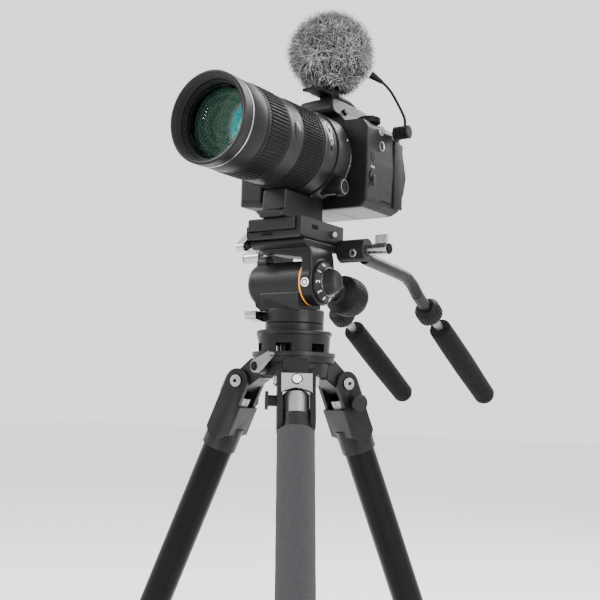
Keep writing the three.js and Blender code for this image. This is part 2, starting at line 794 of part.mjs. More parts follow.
function handleTube() {
  const elbow = handlePoint(-straightLength);
  const path = new THREE.CurvePath();
  const start = new THREE.Vector3(0, rosetteY + 6, rosetteZ - 7);
  const beforeBend = new THREE.Vector3(0, elbow.y - 30, elbow.z + 18);
  const corner = new THREE.Vector3(0, elbow.y - 13, elbow.z + 13 * Math.tan(rad(gripSlope)) + 6);
  path.add(new THREE.LineCurve3(start, beforeBend));
  path.add(new THREE.QuadraticBezierCurve3(beforeBend, corner, elbow));
  const tube = tubeAlong(path, handleTubeRadius, 12, 8);
  tube.translate(handleX, 0, 0);
  const straight = alongHandle(disc(handleTubeRadius, -straightLength - 1, collarLength / 2 - 2, 12));
  const barrel = alongX(disc(rosetteRadius, rosetteOut + gap, handleBarrelOut, 24), rosetteY, rosetteZ);
  const bore = alongHandle(disc(rodRadius + slack, -straightLength, collarLength, 12));
  const studHole = alongX(disc(3 + slack, handleBarrelOut - 6, handleBarrelOut + 3, 12), rosetteY, rosetteZ);
  return cut(join(tube, straight, barrel), bore, studHole);
}

function handleLever() {
  const start = handleBarrelOut + gap;
  const stem = disc(handLeverRadius, start, start + handLeverLength, 18);
  const stud = disc(3, start - 4, start + 1, 12);
  const wing = slabXZ([
    [start + 9, 3], [start + handLeverLength - 1, 3], [start + handLeverLength - 1, 15], [start + 9, 15],
  ], -2, 2, 0.5);
  wing.translate(0, rosetteY, rosetteZ);
  return join(alongX(stem, rosetteY, rosetteZ), alongX(stud, rosetteY, rosetteZ), wing);
}

function handleCollar() {
  const half = collarLength / 2;
  const inner = handleTubeRadius + slack;
  return alongHandle(turned([
    [inner, -half], [collarRadius - 4, -half], [collarRadius, -half + 5], [collarRadius, half - 3],
    [collarRadius - 3, half], [rodRadius + slack, half], [rodRadius + slack, half - 1.7],
    [inner, half - 1.7], [inner, -half],
  ], 18));
}

const foamStart = collarLength / 2 + rodShown;

function handleRod() {
  return alongHandle(disc(rodRadius, -rodInside, foamStart + foamLength - 12, 12));
}

function handleFoam() {
  const end = foamStart + foamLength;
  const inner = rodRadius + gap;
  return alongHandle(turned([
    [inner, foamStart], [foamRadius - 2.5, foamStart], [foamRadius - 0.6, foamStart + 5],
    [foamRadius, foamStart + foamLength * 0.5], [foamRadius, end - 14], [foamRadius - 3, end - 4],
    [foamRadius - 8, end], [0, end], [0, end - 12 + gap], [inner, end - 12 + gap], [inner, foamStart],
  ], 16));
}

// ---- lens -------------------------------------------------------------------------------------------
function lensBarrel() {
  return alongY(turned([
    [0, glassY + 10], [glassSeat, glassY + 10], [glassSeat, glassY - glassLead],
    [frontBore, glassY - glassLead],
    [frontBore, lensFront + 3], [lensRimRadius - 3.5, lensFront], [lensRimRadius, lensFront + 1],
    [lensRimRadius, lensFront + 12], [lensRadius, lensFront + 14], [lensRadius, focusFront - gap],
    [coreRadius, focusFront - gap], [coreRadius, focusRear + gap], [lensRadius, focusRear + gap],
    [lensRadius, zoomFront - gap], [coreRadius, zoomFront - gap], [coreRadius, zoomRear + gap],
    [ringOuter, zoomRear + gap], [ringOuter, collarFront - gap], [coreRadius, collarFront - gap],
    [coreRadius, collarRear + gap], [collarOuter - 4, collarRear + gap], [coreRadius - 4, lensRear],
    [0, lensRear],
  ], 36), 0, lensZ);
}

function frontGlass() {
  return alongY(turned([
    [0, glassY - glassDome], [glassRadius * 0.5, glassY - glassDome * 0.78],
    [glassRadius * 0.8, glassY - glassDome * 0.44], [glassRadius, glassY], [glassRadius, glassY + glassEdge],
    [0, glassY + glassEdge],
  ], 24), 0, lensZ);
}

function gripRing(front, rear) {
  const inner = coreRadius + slack;
  return alongY(turned([
    [inner, front], [ringOuter, front], [ringOuter, rear], [inner, rear], [inner, front],
  ], 36), 0, lensZ);
}

// Band that the lens turns in, with the long foot that stands on the quick-release plate.
function tripodCollar() {
  const band = alongY(ring(coreRadius + slack, collarOuter, collarFront, collarRear, 36), 0, lensZ);
  const foot = slabYZ([
    [footFront, footBase], [footRear, footBase], [footRear, footBase + 5], [collarRear, footBase + 9],
    [collarRear, lensZ - collarOuter + 4], [collarFront, lensZ - collarOuter + 4],
    [collarFront, footTop], [footFront + 7, footTop], [footFront + 5, footBase + 9],
    [footFront, footBase + 6],
  ], -footHalfWidth, footHalfWidth, 1.2);
  const bore = alongY(disc(coreRadius + slack, collarFront - 1, collarRear + 1, 36), 0, lensZ);
  const y = (collarFront + collarRear) / 2;
  const hole = disc(collarStudRadius + slack, collarKnobRoot - 3, collarKnobOut, 12);
  const knobHole = alongX(hole, y, collarKnobZ);
  const knobPad = alongX(disc(collarKnobRadius - 2, 20, collarPadOut, 18), y, collarKnobZ);
  return cut(join(band, foot, knobPad), bore, knobHole);
}

function collarKnob() {
  const y = (collarFront + collarRear) / 2;
  return alongX(turned([
    [0, collarKnobRoot], [collarStudRadius, collarKnobRoot], [collarStudRadius, collarPadOut + gap],
    [collarKnobRadius - 1, collarPadOut + gap], [collarKnobRadius, collarPadOut + 2],
    [collarKnobRadius, collarKnobOut - 1.5], [collarKnobRadius - 1, collarKnobOut], [0, collarKnobOut],
  ], 18), y, collarKnobZ);
}

// ---- camera -------------------------------------------------------------------------------------------
function cameraBody() {
  const overhang = lensZ + collarOuter + 2;
  const front = slabXZ([
    [bodyGrip + 8, bodyBottom], [bodyPort - 6, bodyBottom], [bodyPort, bodyBottom + 7],
    [bodyPort + 1, bodyBottom + 50], [bodyPort, shoulderZ - 8], [bodyPort - 6, shoulderZ],
    [31, shoulderZ + 1], [24, shoulderZ + 12], [19, prismTop - 3], [14, prismTop], [-14, prismTop],
    [-19, prismTop - 3], [-24, shoulderZ + 12], [-34, shoulderZ], [bodyGrip + 10, shoulderZ - 5],
    [bodyGrip, shoulderZ - 16], [bodyGrip, bodyBottom + 9],
  ], -20, 140);
  const side = slabYZ([
    [bodyFront, bodyBottom], [106, bodyBottom], [112, bodyBottom + 5], [122, bodyBottom + 28],
    [127, bodyBottom + 46], [120, bodyBottom + 70], [110, shoulderZ - 4], [106, shoulderZ],
    [104, shoulderZ + 8], [112, shoulderZ + 10], [112, prismTop - 5], [100, prismTop],
    [44, prismTop], [31, prismTop - 6], [26, overhang + 5], [28, overhang], [bodyFront, overhang - 2],
  ], bodyGrip - 5, bodyPort + 5);
  const shell = common(front, side);
  const mount = alongY(turned([
    [0, lensRear + gap], [37, lensRear + gap], [40, bodyFront - 1], [40, bodyFront + 6], [0, bodyFront + 6],
  ], 32), 0, lensZ);
  const gripShape = new THREE.Shape();
  gripShape.moveTo(bodyGrip + 1, bodyBottom + 6);
  gripShape.lineTo(-50, bodyBottom + 2);
  gripShape.lineTo(-46, gripTopZ - 6);
  gripShape.lineTo(-54, gripTopZ);
  gripShape.lineTo(bodyGrip + 8, gripTopZ - 2);
  gripShape.lineTo(bodyGrip + 1, gripTopZ - 12);
  gripShape.closePath();
  const grip = slabXZ(gripShape, 8, bodyFront + 8, 5);
  const shutterHole = disc(shutterRadius + slack, gripTopZ - 6, gripTopZ + 20, 16);
  shutterHole.translate(shutterX, shutterY, 0);
  const shoe = [1, -1].map((sign) => box(
    sign > 0 ? 8.5 : -10.5, sign > 0 ? 10.5 : -8.5, micY - 9, micY + 9, prismTop - 2, prismTop + 2.4,
  ));
  const doorPocket = box(
    doorX - gap, doorX + doorWidth + gap, doorY - gap, doorY + doorDepth + gap,
    bodyBottom - 5, bodyBottom + doorThickness + gap,
  );
  const dialSeat = disc(modeDialStud + slack, shoulderZ - 5, shoulderZ + 20, 14);
  dialSeat.translate(dialX, dialY, 0);
  return cut(join(shell, mount, grip, ...shoe), shutterHole, doorPocket, dialSeat);
}

function batteryDoor() {
  return slabXZ([
    [doorX, bodyBottom], [doorX + doorWidth, bodyBottom], [doorX + doorWidth, bodyBottom + doorThickness],
    [doorX, bodyBottom + doorThickness],
  ], doorY, doorY + doorDepth);
}

function modeDial() {
  const low = shoulderZ + 1 + gap;
  const dial = turned([
    [0, low - 5], [modeDialStud, low - 5], [modeDialStud, low], [modeDialRadius, low],
    [modeDialRadius, low + modeDialHeight - 1.5],
    [modeDialRadius - 1.5, low + modeDialHeight], [0, low + modeDialHeight],
  ], 22);
  dial.translate(dialX, dialY, 0);
  return dial;
}

function shutterButton() {
  const button = disc(shutterRadius, gripTopZ - 4, gripTopZ + 2.4, 16);
  button.translate(shutterX, shutterY, 0);
  return button;
}

// ---- microphone and its lead ---------------------------------------------------------------------------
function micMount() {
  const low = prismTop + gap;
  const foot = box(-8, 8, micY - 8.5, micY + 8.5, low, low + shoeHeight);
  const bar = slabYZ([
    [micY - 42, low + 1.5], [micY - 30, low + 3.6], [micY + 30, low + 3.6], [micY + 44, low + 0.6],
    [micY + 45, low + 3.4], [micY + 31, low + 7.6], [micY - 31, low + 7.6], [micY - 43, low + 4.4],
  ], -9, 9, 0.8);
  const neck = disc(11, low + 5, windshieldBottom - gap, 20);
  neck.translate(0, micY, 0);
  return join(foot, bar, neck);
}

function windshield() {
  const profile = [[0, windshieldBottom], [17, windshieldBottom], [24, windshieldBottom + 7]];
  const centre = windshieldTop - windshieldRadius;
  const steps = 7;
  const startAngle = -rad(48);
  for (let i = 0; i <= steps; i++) {
    const angle = startAngle + ((Math.PI / 2 - startAngle) * i) / steps;
    const r = i === steps ? 0 : windshieldRadius * Math.cos(angle);
    profile.push([r, centre + windshieldRadius * Math.sin(angle)]);
  }
  const ball = turned(profile, 22);
  ball.translate(0, micY, 0);
  return ball;
}

// Lead from the strain relief on the windshield's rear side to the plug on the port side.
const leadStart = new THREE.Vector3(47, 93, 289);
const leadPoints = [
  [47, 93, 289], [50.1, 94.7, 285.7], [53, 96, 282], [55.6, 97.1, 278.1], [58, 98, 274],
  [60.4, 98.4, 269.6], [62.8, 98.5, 265.2], [65.3, 98.4, 260.8], [67.8, 98, 256.4], [70.2, 97.4, 252],
  [72.3, 96.7, 247.9], [73.7, 96, 244.6], [74.5, 95.4, 241.8], [74.9, 94.8, 239.2],
  [75, 94.4, plugZ + plugRadius + gap],
];

function micGland() {
  const from = new THREE.Vector3(37, 86, 297);
  const path = new THREE.LineCurve3(from, leadStart.clone().lerp(from, 0.03));
  return tubeAlong(path, 3, 10, 1);
}

function micLead() {
  const curve = new THREE.CatmullRomCurve3(leadPoints.map((p) => new THREE.Vector3(...p)));
  return tubeAlong(curve, cordRadius, 8, 12);
}

function micPlug() {
  const profile = [[0, bodyPort + 1 + gap], [4, bodyPort + 1 + gap], [4, bodyPort + 3]];
  const ribs = 4;
  const pitch = (plugLength - 3) / ribs;
  for (let i = 0; i < ribs; i++) {
    const x = bodyPort + 3.4 + i * pitch;
    profile.push([plugRadius, x], [plugRadius, x + pitch * 0.6], [plugRadius - 1.6, x + pitch * 0.75]);
  }
  profile.push([0, bodyPort + 3.4 + ribs * pitch - pitch * 0.25]);
  return alongX(turned(profile, 14), plugY, plugZ);
}

// ---- assembly --------------------------------------------------------------------------------------------
for (let i = 0; i < legCount; i++) buildLeg(i);
add("crown", crown(), finish.blackMetal);
add("levelling_cup", levellingCup(), finish.blackMetal);
add("cup_clamp_lever", cupClampLever(), finish.greyMetal);
add("head_housing", headHousing(), finish.blackMetal);
add("counterbalance_cap", counterbalanceCap(), finish.blackMetal);
add("pan_lock_lever", panLockLever(), finish.silver);
add("rear_knob", rearKnob(), finish.rubber);
add("tilt_cradle", tiltCradle(), finish.blackMetal);
add("drag_dial", dragDial(), finish.blackMetal);
add("plate_clamp", plateClamp(), finish.blackMetal);
add("plate_release_button", releaseButton(), finish.silver);
add("plate_lock_lever", plateLockLever(), finish.silver);
add("quick_plate", quickPlate(), finish.blackMetal);

const handlePieces = [
  ["tube", handleTube, finish.blackMetal],
  ["lever", handleLever, finish.silver],
  ["collar", handleCollar, finish.rubber],
  ["rod", handleRod, finish.greyMetal],
  ["foam", handleFoam, finish.blackFoam],
];
for (const [piece, make, material] of handlePieces) {
  add(`port_handle_${piece}`, make(), material);
  add(`grip_handle_${piece}`, mirrored(make()), material);
}

add("lens_barrel", lensBarrel(), finish.lensBlack);
add("front_glass", frontGlass(), finish.glass);
add("focus_ring", gripRing(focusFront, focusRear), finish.rubber);
add("zoom_ring", gripRing(zoomFront, zoomRear), finish.rubber);
add("tripod_collar", tripodCollar(), finish.lensBlack);
add("collar_knob", collarKnob(), finish.blackMetal);
add("camera_body", cameraBody(), finish.bodyBlack);
add("battery_door", batteryDoor(), finish.doorGrey);
add("mode_dial", modeDial(), finish.bodyBlack);
add("shutter_button", shutterButton(), finish.blackMetal);
add("mic_mount", micMount(), finish.blackMetal);
add("mic_windshield", windshield(), finish.fur);
add("mic_gland", micGland(), finish.rubber);
add("mic_lead", micLead(), finish.cord);
add("mic_plug", micPlug(), finish.rubber);

const outline = new THREE.Box3().setFromObject(model, true);
const middle = outline.getCenter(new THREE.Vector3());
model.position.set(-middle.x, -middle.y, -outline.min.z);
const stand = new THREE.Group();
stand.add(model);

export default stand;
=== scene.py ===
"""Looks for the camera on its fluid head and stand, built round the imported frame.

Places are given in millimetres in the head's frame, where the pan axis is x = y = 0, z = 0 is
the flange of the levelling cup, the lens looks along -Y and +X is the camera's port side.
"""

import json
import math
import random

import bmesh
import bpy
from mathutils import Matrix, Vector, noise


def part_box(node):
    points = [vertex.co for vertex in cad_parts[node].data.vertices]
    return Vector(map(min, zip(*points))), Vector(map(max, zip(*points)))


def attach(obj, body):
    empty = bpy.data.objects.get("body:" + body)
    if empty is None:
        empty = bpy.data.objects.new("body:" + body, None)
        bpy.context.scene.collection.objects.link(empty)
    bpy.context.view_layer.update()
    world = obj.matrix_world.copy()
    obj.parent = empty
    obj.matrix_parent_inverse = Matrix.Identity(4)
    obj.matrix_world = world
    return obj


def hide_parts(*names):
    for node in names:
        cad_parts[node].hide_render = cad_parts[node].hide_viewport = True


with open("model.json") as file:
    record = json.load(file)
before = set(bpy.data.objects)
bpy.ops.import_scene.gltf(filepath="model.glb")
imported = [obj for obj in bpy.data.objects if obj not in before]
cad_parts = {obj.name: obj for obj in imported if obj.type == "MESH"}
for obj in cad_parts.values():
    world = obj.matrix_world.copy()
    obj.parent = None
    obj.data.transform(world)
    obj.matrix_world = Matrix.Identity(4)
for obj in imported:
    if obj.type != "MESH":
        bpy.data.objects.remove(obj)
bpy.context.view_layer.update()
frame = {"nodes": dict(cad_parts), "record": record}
rad = math.radians

# ---- the head's frame ----------------------------------------------------------------------------
MM = 0.001
CUP_DEPTH = 17  # cup flange above the cup's lowest edge
cup_low, cup_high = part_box("levelling_cup")
HEAD = Vector(((cup_low.x + cup_high.x) / 2, (cup_low.y + cup_high.y) / 2, cup_low.z + CUP_DEPTH * MM))


def at(x, y, z):
    """A place in metres on the frame's axes, from millimetres in the head's frame."""
    return HEAD + Vector((x, y, z)) * MM


# ---- sizes shared with the frame -----------------------------------------------------------------
LENS_Z = 193  # height of the lens axis
BARREL_R = 44.6
RING_R = 45.4  # over the ribs of the lens rings
BODY_PORT = 60  # x of the camera's port side
BODY_BOTTOM = 139
TILT = (-6, 54)  # y and z of the tilt axis
ROSETTE = (34, 91)  # y and z of the pan handles' toothed joints
HANDLE_X = 59
COLLAR = (191, 41)  # y and z of the pan handles' twist collars
GRIP_SLOPE = 29.4  # degrees below level
HINGE_R = 56.5
HINGE_Z = -47
LEG_SPREAD = 23.4  # degrees from vertical
LEG_AZIMUTHS = {"front": 36.9, "port": 156.9, "side": 276.9}
MIC_Y = 58
LENS_AXIS = ((0, 0, LENS_Z), (0, 1, 0))
TILT_AXIS = ((0, *TILT), (1, 0, 0))
LEAD_RADIUS = 1.5
LEAD = [
    (47, 93, 289), (50.1, 94.7, 285.7), (53, 96, 282), (55.6, 97.1, 278.1), (58, 98, 274),
    (60.4, 98.4, 269.6), (62.8, 98.5, 265.2), (65.3, 98.4, 260.8), (67.8, 98, 256.4), (70.2, 97.4, 252),
    (72.3, 96.7, 247.9), (73.7, 96, 244.6), (74.5, 95.4, 241.8), (74.9, 94.8, 239.2), (75, 94.4, 236.8),
]

node_body = {n: body for body, nodes in frame["record"]["behaviour"]["bodies"].items() for n in nodes}
node_slot = {s["node"]: s["material_slot"] for s in frame["record"]["subparts"]}


def add_object(name, data):
    thing = bpy.data.objects.new(name, data)
    bpy.context.scene.collection.objects.link(thing)
    return thing


# ---- camera --------------------------------------------------------------------------------------
VIEW_PLACE = (575.9, -855.5, -66.4)
VIEW_HEADING, VIEW_PITCH, VIEW_ROLL = 33.67, 5.78, 1.53  # degrees, from level and looking along +Y
SENSOR_WIDTH = 36
FOCAL_LENGTH = 59.9
FAR_CLIP = 50  # metres


def make_camera():
    """A view from low down, in front and to port."""
    heading, pitch, roll = rad(VIEW_HEADING), rad(VIEW_PITCH), rad(VIEW_ROLL)
    forward = Vector((
        -math.sin(heading) * math.cos(pitch), math.cos(heading) * math.cos(pitch), math.sin(pitch),
    ))
    right = Vector((math.cos(heading), math.sin(heading), 0))
    up = right.cross(forward)
    right, up = right * math.cos(roll) + up * math.sin(roll), up * math.cos(roll) - right * math.sin(roll)
    data = bpy.data.cameras.new("view")
    data.sensor_width = SENSOR_WIDTH
    data.lens = FOCAL_LENGTH
    data.clip_end = FAR_CLIP
    camera = add_object("view", data)
    turn = Matrix((right, up, -forward)).transposed().to_4x4()
    camera.matrix_world = Matrix.Translation(at(*VIEW_PLACE)) @ turn
    bpy.context.scene.camera = camera


make_camera()


# ---- materials -----------------------------------------------------------------------------------
MOTTLE_SCALE = 45  # noise scales are per metre, so this gives patches about 20 mm wide
SMUDGE_SCALE = 160
FOAM_CELLS = 900
WORN_FROM, WORN_TO = 0.52, 0.6  # pointiness of an edge that starts to show wear, and of a worn one
WORN_BRIGHTER = 5
RING_SCALE = 38
GLOW_PLACE = (27, -128, -4)  # centre of the painted teal reflection, from the lens axis at the pan axis
GLOW_REACH = 0.06  # how far the painted teal reflection reaches, in metres


class Graph:
    """A material's node tree, with short ways to add what is used again and again."""

    def __init__(self, name):
        self.material = bpy.data.materials.new(name)
        self.material.use_nodes = True
        self.tree = self.material.node_tree
        self.shader = self.tree.nodes["Principled BSDF"]
        self.coords = self.tree.nodes.new("ShaderNodeTexCoord").outputs["Object"]

    def join(self, source, target):
        self.tree.links.new(source, target)

    def noise(self, scale, detail=3.0):
        node = self.tree.nodes.new("ShaderNodeTexNoise")
        node.inputs["Scale"].default_value = scale
        node.inputs["Detail"].default_value = detail
        self.join(self.coords, node.inputs["Vector"])
        return node.outputs["Fac"]

    def ramp(self, source, stops):
        node = self.tree.nodes.new("ShaderNodeValToRGB")
        elements = node.color_ramp.elements
        while len(elements) < len(stops):
            elements.new(0.5)
        for element, (place, colour) in zip(elements, stops):
            element.position = place
            element.color = (*colour, 1)
        self.join(source, node.inputs["Fac"])
        return node.outputs["Color"]

    def spread(self, source, low, high):
        node = self.tree.nodes.new("ShaderNodeMapRange")
        node.inputs["From Min"].default_value = 0.3
        node.inputs["From Max"].default_value = 0.7
        node.inputs["To Min"].default_value = low
        node.inputs["To Max"].default_value = high
        self.join(source, node.inputs["Value"])
        return node.outputs["Result"]

    def bump(self, source, strength, distance=0.0004):
        node = self.tree.nodes.new("ShaderNodeBump")
        node.inputs["Strength"].default_value = strength
        node.inputs["Distance"].default_value = distance
        self.join(source, node.inputs["Height"])
        self.join(node.outputs["Normal"], self.shader.inputs["Normal"])


def scaled(colour, amount):
    return tuple(min(1.0, c * amount) for c in colour)


def surface(name, colour, rough, metal=0.0, grain=2200, bump=0.25, mottle=0.18, wear=0.0, spec=0.3):
    """A mottled, grained finish, a little lighter where edges are worn."""
    graph = Graph(name)
    tone = graph.ramp(graph.noise(MOTTLE_SCALE, 5), [
        (0.3, scaled(colour, 1 - mottle)), (0.7, scaled(colour, 1 + mottle)),
    ])
    if wear:
        edge = graph.tree.nodes.new("ShaderNodeNewGeometry").outputs["Pointiness"]
        worn = graph.tree.nodes.new("ShaderNodeMapRange")
        worn.inputs["From Min"].default_value = WORN_FROM
        worn.inputs["From Max"].default_value = WORN_TO
        worn.inputs["To Max"].default_value = wear
        graph.join(edge, worn.inputs["Value"])
        mix = graph.tree.nodes.new("ShaderNodeMix")
        mix.data_type = "RGBA"
        mix.inputs["B"].default_value = (*scaled(colour, WORN_BRIGHTER), 1)
        graph.join(worn.outputs["Result"], mix.inputs["Factor"])
        graph.join(tone, mix.inputs["A"])
        tone = mix.outputs["Result"]
    graph.join(tone, graph.shader.inputs["Base Color"])
    smudges = graph.spread(graph.noise(SMUDGE_SCALE), rough - 0.05, rough + 0.07)
    graph.join(smudges, graph.shader.inputs["Roughness"])
    graph.shader.inputs["Metallic"].default_value = metal
    graph.shader.inputs["Specular IOR Level"].default_value = spec
    graph.bump(graph.noise(grain, 4), bump)
    return graph.material


def foam(name, colour):
    """Closed-cell foam: fine open pits over a soft, dusty surface."""
    graph = Graph(name)
    cells = graph.tree.nodes.new("ShaderNodeTexVoronoi")
    cells.inputs["Scale"].default_value = FOAM_CELLS
    graph.join(graph.coords, cells.inputs["Vector"])
    tone = graph.ramp(cells.outputs["Distance"], [(0.05, scaled(colour, 0.72)), (0.55, scaled(colour, 1.12))])
    graph.join(tone, graph.shader.inputs["Base Color"])
    graph.shader.inputs["Sheen Weight"].default_value = 0.02
    graph.shader.inputs["Specular IOR Level"].default_value = 0.1
    graph.join(graph.spread(graph.noise(120), 0.82, 0.95), graph.shader.inputs["Roughness"])
    graph.bump(cells.outputs["Distance"], 0.5)
    return graph.material


def fur():
    """Mottled grey strands, each with its own shade and a paler tip."""
    graph = Graph("fur")
    shade = graph.tree.nodes.new("ShaderNodeAttribute")
    shade.attribute_name = "shade"
    tone = graph.ramp(shade.outputs["Fac"], [
        (0.0, (0.006, 0.006, 0.006)), (0.35, (0.045, 0.045, 0.045)), (0.7, (0.32, 0.32, 0.32)),
        (1.0, (0.9, 0.9, 0.89)),
    ])
    graph.join(tone, graph.shader.inputs["Base Color"])
    graph.join(graph.spread(graph.noise(300), 0.5, 0.7), graph.shader.inputs["Roughness"])
    graph.shader.inputs["Sheen Weight"].default_value = 0.3
    return graph.material


def clear_glass():
    """Faintly green glass that bends light little, so that what is behind it stays in place."""
    graph = Graph("front_glass")
    graph.shader.inputs["Base Color"].default_value = (0.86, 0.97, 0.95, 1)
    graph.join(graph.spread(graph.noise(60), 0.0, 0.03), graph.shader.inputs["Roughness"])
    graph.shader.inputs["Transmission Weight"].default_value = 1.0
    graph.shader.inputs["IOR"].default_value = 1.12
    graph.shader.inputs["Specular IOR Level"].default_value = 0.3
    return graph.material


def coated_glass():
    """Inner elements with painted reflections: concentric arcs from green to olive and brown, with a teal
    glare to port, all made to glow by emission.
    """
    graph = Graph("coated_glass")
    nodes = graph.tree.nodes
    shift = nodes.new("ShaderNodeMapping")
    shift.inputs["Location"].default_value = -at(0, 0, LENS_Z)
    graph.join(graph.coords, shift.inputs["Vector"])
    rings = nodes.new("ShaderNodeTexWave")
    rings.wave_type = "RINGS"
    rings.rings_direction = "Y"
    rings.inputs["Scale"].default_value = RING_SCALE
    rings.inputs["Distortion"].default_value = 0.6
    graph.join(shift.outputs["Vector"], rings.inputs["Vector"])
    arcs = graph.ramp(rings.outputs["Fac"], [
        (0.0, (0.002, 0.010, 0.007)), (0.6, (0.010, 0.026, 0.017)), (1.0, (0.055, 0.050, 0.034)),
    ])
    glow = nodes.new("ShaderNodeVectorMath")
    glow.operation = "DISTANCE"
    glow.inputs[1].default_value = Vector(GLOW_PLACE) * MM
    graph.join(shift.outputs["Vector"], glow.inputs[0])
    reach = nodes.new("ShaderNodeMapRange")
    reach.inputs["From Max"].default_value = GLOW_REACH
    graph.join(glow.outputs["Value"], reach.inputs["Value"])
    # The teal glare and the bands round it are painted reflections.
    bands = graph.ramp(reach.outputs["Result"], [
        (0.0, (0.12, 0.48, 0.48)), (0.17, (0.09, 0.42, 0.43)), (0.2, (0.0, 0.16, 0.17)),
        (0.3, (0.0, 0.24, 0.24)), (0.38, (0.09, 0.065, 0.05)), (0.42, (0.012, 0.05, 0.034)),
        (0.6, (0.03, 0.045, 0.028)), (0.64, (0.006, 0.026, 0.018)), (1.0, (0.003, 0.012, 0.008)),
    ])
    mix = nodes.new("ShaderNodeMix")
    mix.data_type = "RGBA"
    mix.inputs["Factor"].default_value = 0.28
    graph.join(bands, mix.inputs["A"])
    graph.join(arcs, mix.inputs["B"])
    graph.join(mix.outputs["Result"], graph.shader.inputs["Base Color"])
    # The painted reflections are also fed to emission, so the element glows.
    graph.join(mix.outputs["Result"], graph.shader.inputs["Emission Color"])
    graph.shader.inputs["Emission Strength"].default_value = 0.55
    graph.shader.inputs["Roughness"].default_value = 0.4
    graph.shader.inputs["Specular IOR Level"].default_value = 0.08
    return graph.material


LOOKS = {
    "black_metal": surface(
        "black_metal", (0.006, 0.006, 0.0064), 0.34, 0.0, 2600, 0.14, wear=0.5, spec=0.17,
    ),
    "grey_metal": surface("grey_metal", (0.13, 0.13, 0.134), 0.36, 0.85, 1800, 0.12, wear=0.3),
    "silver_metal": surface("silver_metal", (0.4, 0.4, 0.395), 0.24, 1.0, 900, 0.06, 0.1),
    "leg_tube": surface("leg_tube", (0.003, 0.003, 0.0034), 0.32, 0.0, 1400, 0.05, 0.2, spec=0.1),
    "leg_foam": foam("leg_foam", (0.037, 0.038, 0.04)),
    "handle_foam": foam("handle_foam", (0.0045, 0.0045, 0.0048)),
    "black_rubber": surface("black_rubber", (0.005, 0.005, 0.0052), 0.5, 0.0, 1500, 0.2, spec=0.14),
    "lens_black": surface("lens_black", (0.006, 0.006, 0.0064), 0.36, 0.0, 1900, 0.2, wear=0.25, spec=0.17),
    "lens_glass": clear_glass(),
    "body_black": surface("body_black", (0.006, 0.006, 0.0062), 0.44, 0.0, 1300, 0.4, spec=0.15),
    "door_grey": surface("door_grey", (0.2, 0.2, 0.203), 0.45, 0.0, 1500, 0.15, 0.06),
    "fur": fur(),
}
# Near-black: the colour of dark parts such as the badge ring, and painted shade in screw sockets, slots,
# seams and grooves.
DARK_AND_PAINTED_SHADE = surface("black_and_painted_shade", (0.002, 0.002, 0.002), 0.7, 0.0, 1200, 0.1, spec=0.1)
WHITE = surface("white_mark", (0.75, 0.75, 0.74), 0.5, 0.0, 1200, 0.05, 0.04)
AMBER = surface("amber_ring", (0.82, 0.33, 0.03), 0.38, 0.0, 1500, 0.06, 0.07)
GLOSS = surface("gloss_panel", (0.004, 0.004, 0.0045), 0.16, 0.0, 600, 0.02, 0.1)
PAINTED_REFLECTIONS = coated_glass()


# ---- mesh helpers --------------------------------------------------------------------------------
SHARP = 34  # degrees between two faces that meet in a crisp edge
BEVEL_FROM = 36  # degrees between two faces whose edge is rounded
FLAT = 0.6  # degrees between facets that are one face
SAME_PLACE = 1e-6  # metres
DIGIT_RAISE = 0.12
RIB_FLANK = 0.12  # each side of a rib, as a share of the rib's pitch


def finish_piece(piece, body, material, replaces=(), sharp=SHARP):
    """Gives a piece its material, crisp edges and body, and hides the nodes it stands for."""
    piece.data.materials.clear()
    piece.data.materials.append(material)
    piece.data.polygons.foreach_set("use_smooth", [True] * len(piece.data.polygons))
    piece.data.set_sharp_from_angle(angle=rad(sharp))
    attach(piece, body)
    if replaces:
        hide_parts(*replaces)
    return piece


def piece_from(name, points, faces, body, slot, material=None, replaces=(), sharp=SHARP):
    """A piece of points in metres and faces, with its finish. Points that meet are joined."""
    mesh = bpy.data.meshes.new(name)
    mesh.from_pydata([tuple(p) for p in points], [], faces)
    work = bmesh.new()
    work.from_mesh(mesh)
    bmesh.ops.remove_doubles(work, verts=work.verts, dist=1e-7)
    bmesh.ops.recalc_face_normals(work, faces=work.faces)
    work.to_mesh(mesh)
    work.free()
    return finish_piece(add_object(name, mesh), body, material or LOOKS[slot], replaces, sharp)


def settled(thing):
    """The mesh that an object comes to with its modifiers or letters worked out."""
    bpy.context.view_layer.update()
    return bpy.data.meshes.new_from_object(thing.evaluated_get(bpy.context.evaluated_depsgraph_get()))


def axes_for(direction):
    """Three unit axes: two across the direction, and the one along it."""
    along = Vector(direction).normalized()
    across = along.orthogonal().normalized()
    return across, along.cross(across), along


def spin(name, stations, origin, direction, body, slot, material=None, replaces=(), ribs=0, sides=96,
         loop=False, duty=0.5, sharp=SHARP):
    """A turned piece. A station is (along, radius) or, where it is ribbed, (along, low, high),
    and duty is the ribs' share of the way round. An end that is off the axis gets a flat cap,
    and with loop the outline closes on itself round a bore."""
    across, side, along = axes_for(direction)
    centre = at(*origin)
    if ribs:
        marks = (0, 1 - duty - RIB_FLANK, 1 - duty, 1 - RIB_FLANK)
        angles = [(2 * math.pi * (i + m) / ribs, k) for i in range(ribs) for k, m in enumerate(marks)]
    else:
        angles = [(2 * math.pi * i / sides, 0) for i in range(sides)]
    count = len(angles)
    points = []
    for station in stations:
        low, high = station[1], station[-1]
        for angle, mark in angles:
            radius = high if mark >= 2 else low
            spoke = across * math.cos(angle) + side * math.sin(angle)
            points.append(centre + (along * station[0] + spoke * radius) * MM)
    faces = []
    rows = len(stations) if loop else len(stations) - 1
    for row in range(rows):
        start, after = row * count, ((row + 1) % len(stations)) * count
        for i in range(count):
            j = (i + 1) % count
            faces.append((start + i, start + j, after + j, after + i))
    if not loop and stations[0][1] > 0:
        faces.append(tuple(range(count)))
    if not loop and stations[-1][1] > 0:
        faces.append(tuple(range(len(points) - count, len(points))))
    return piece_from(name, points, faces, body, slot, material, replaces, sharp)


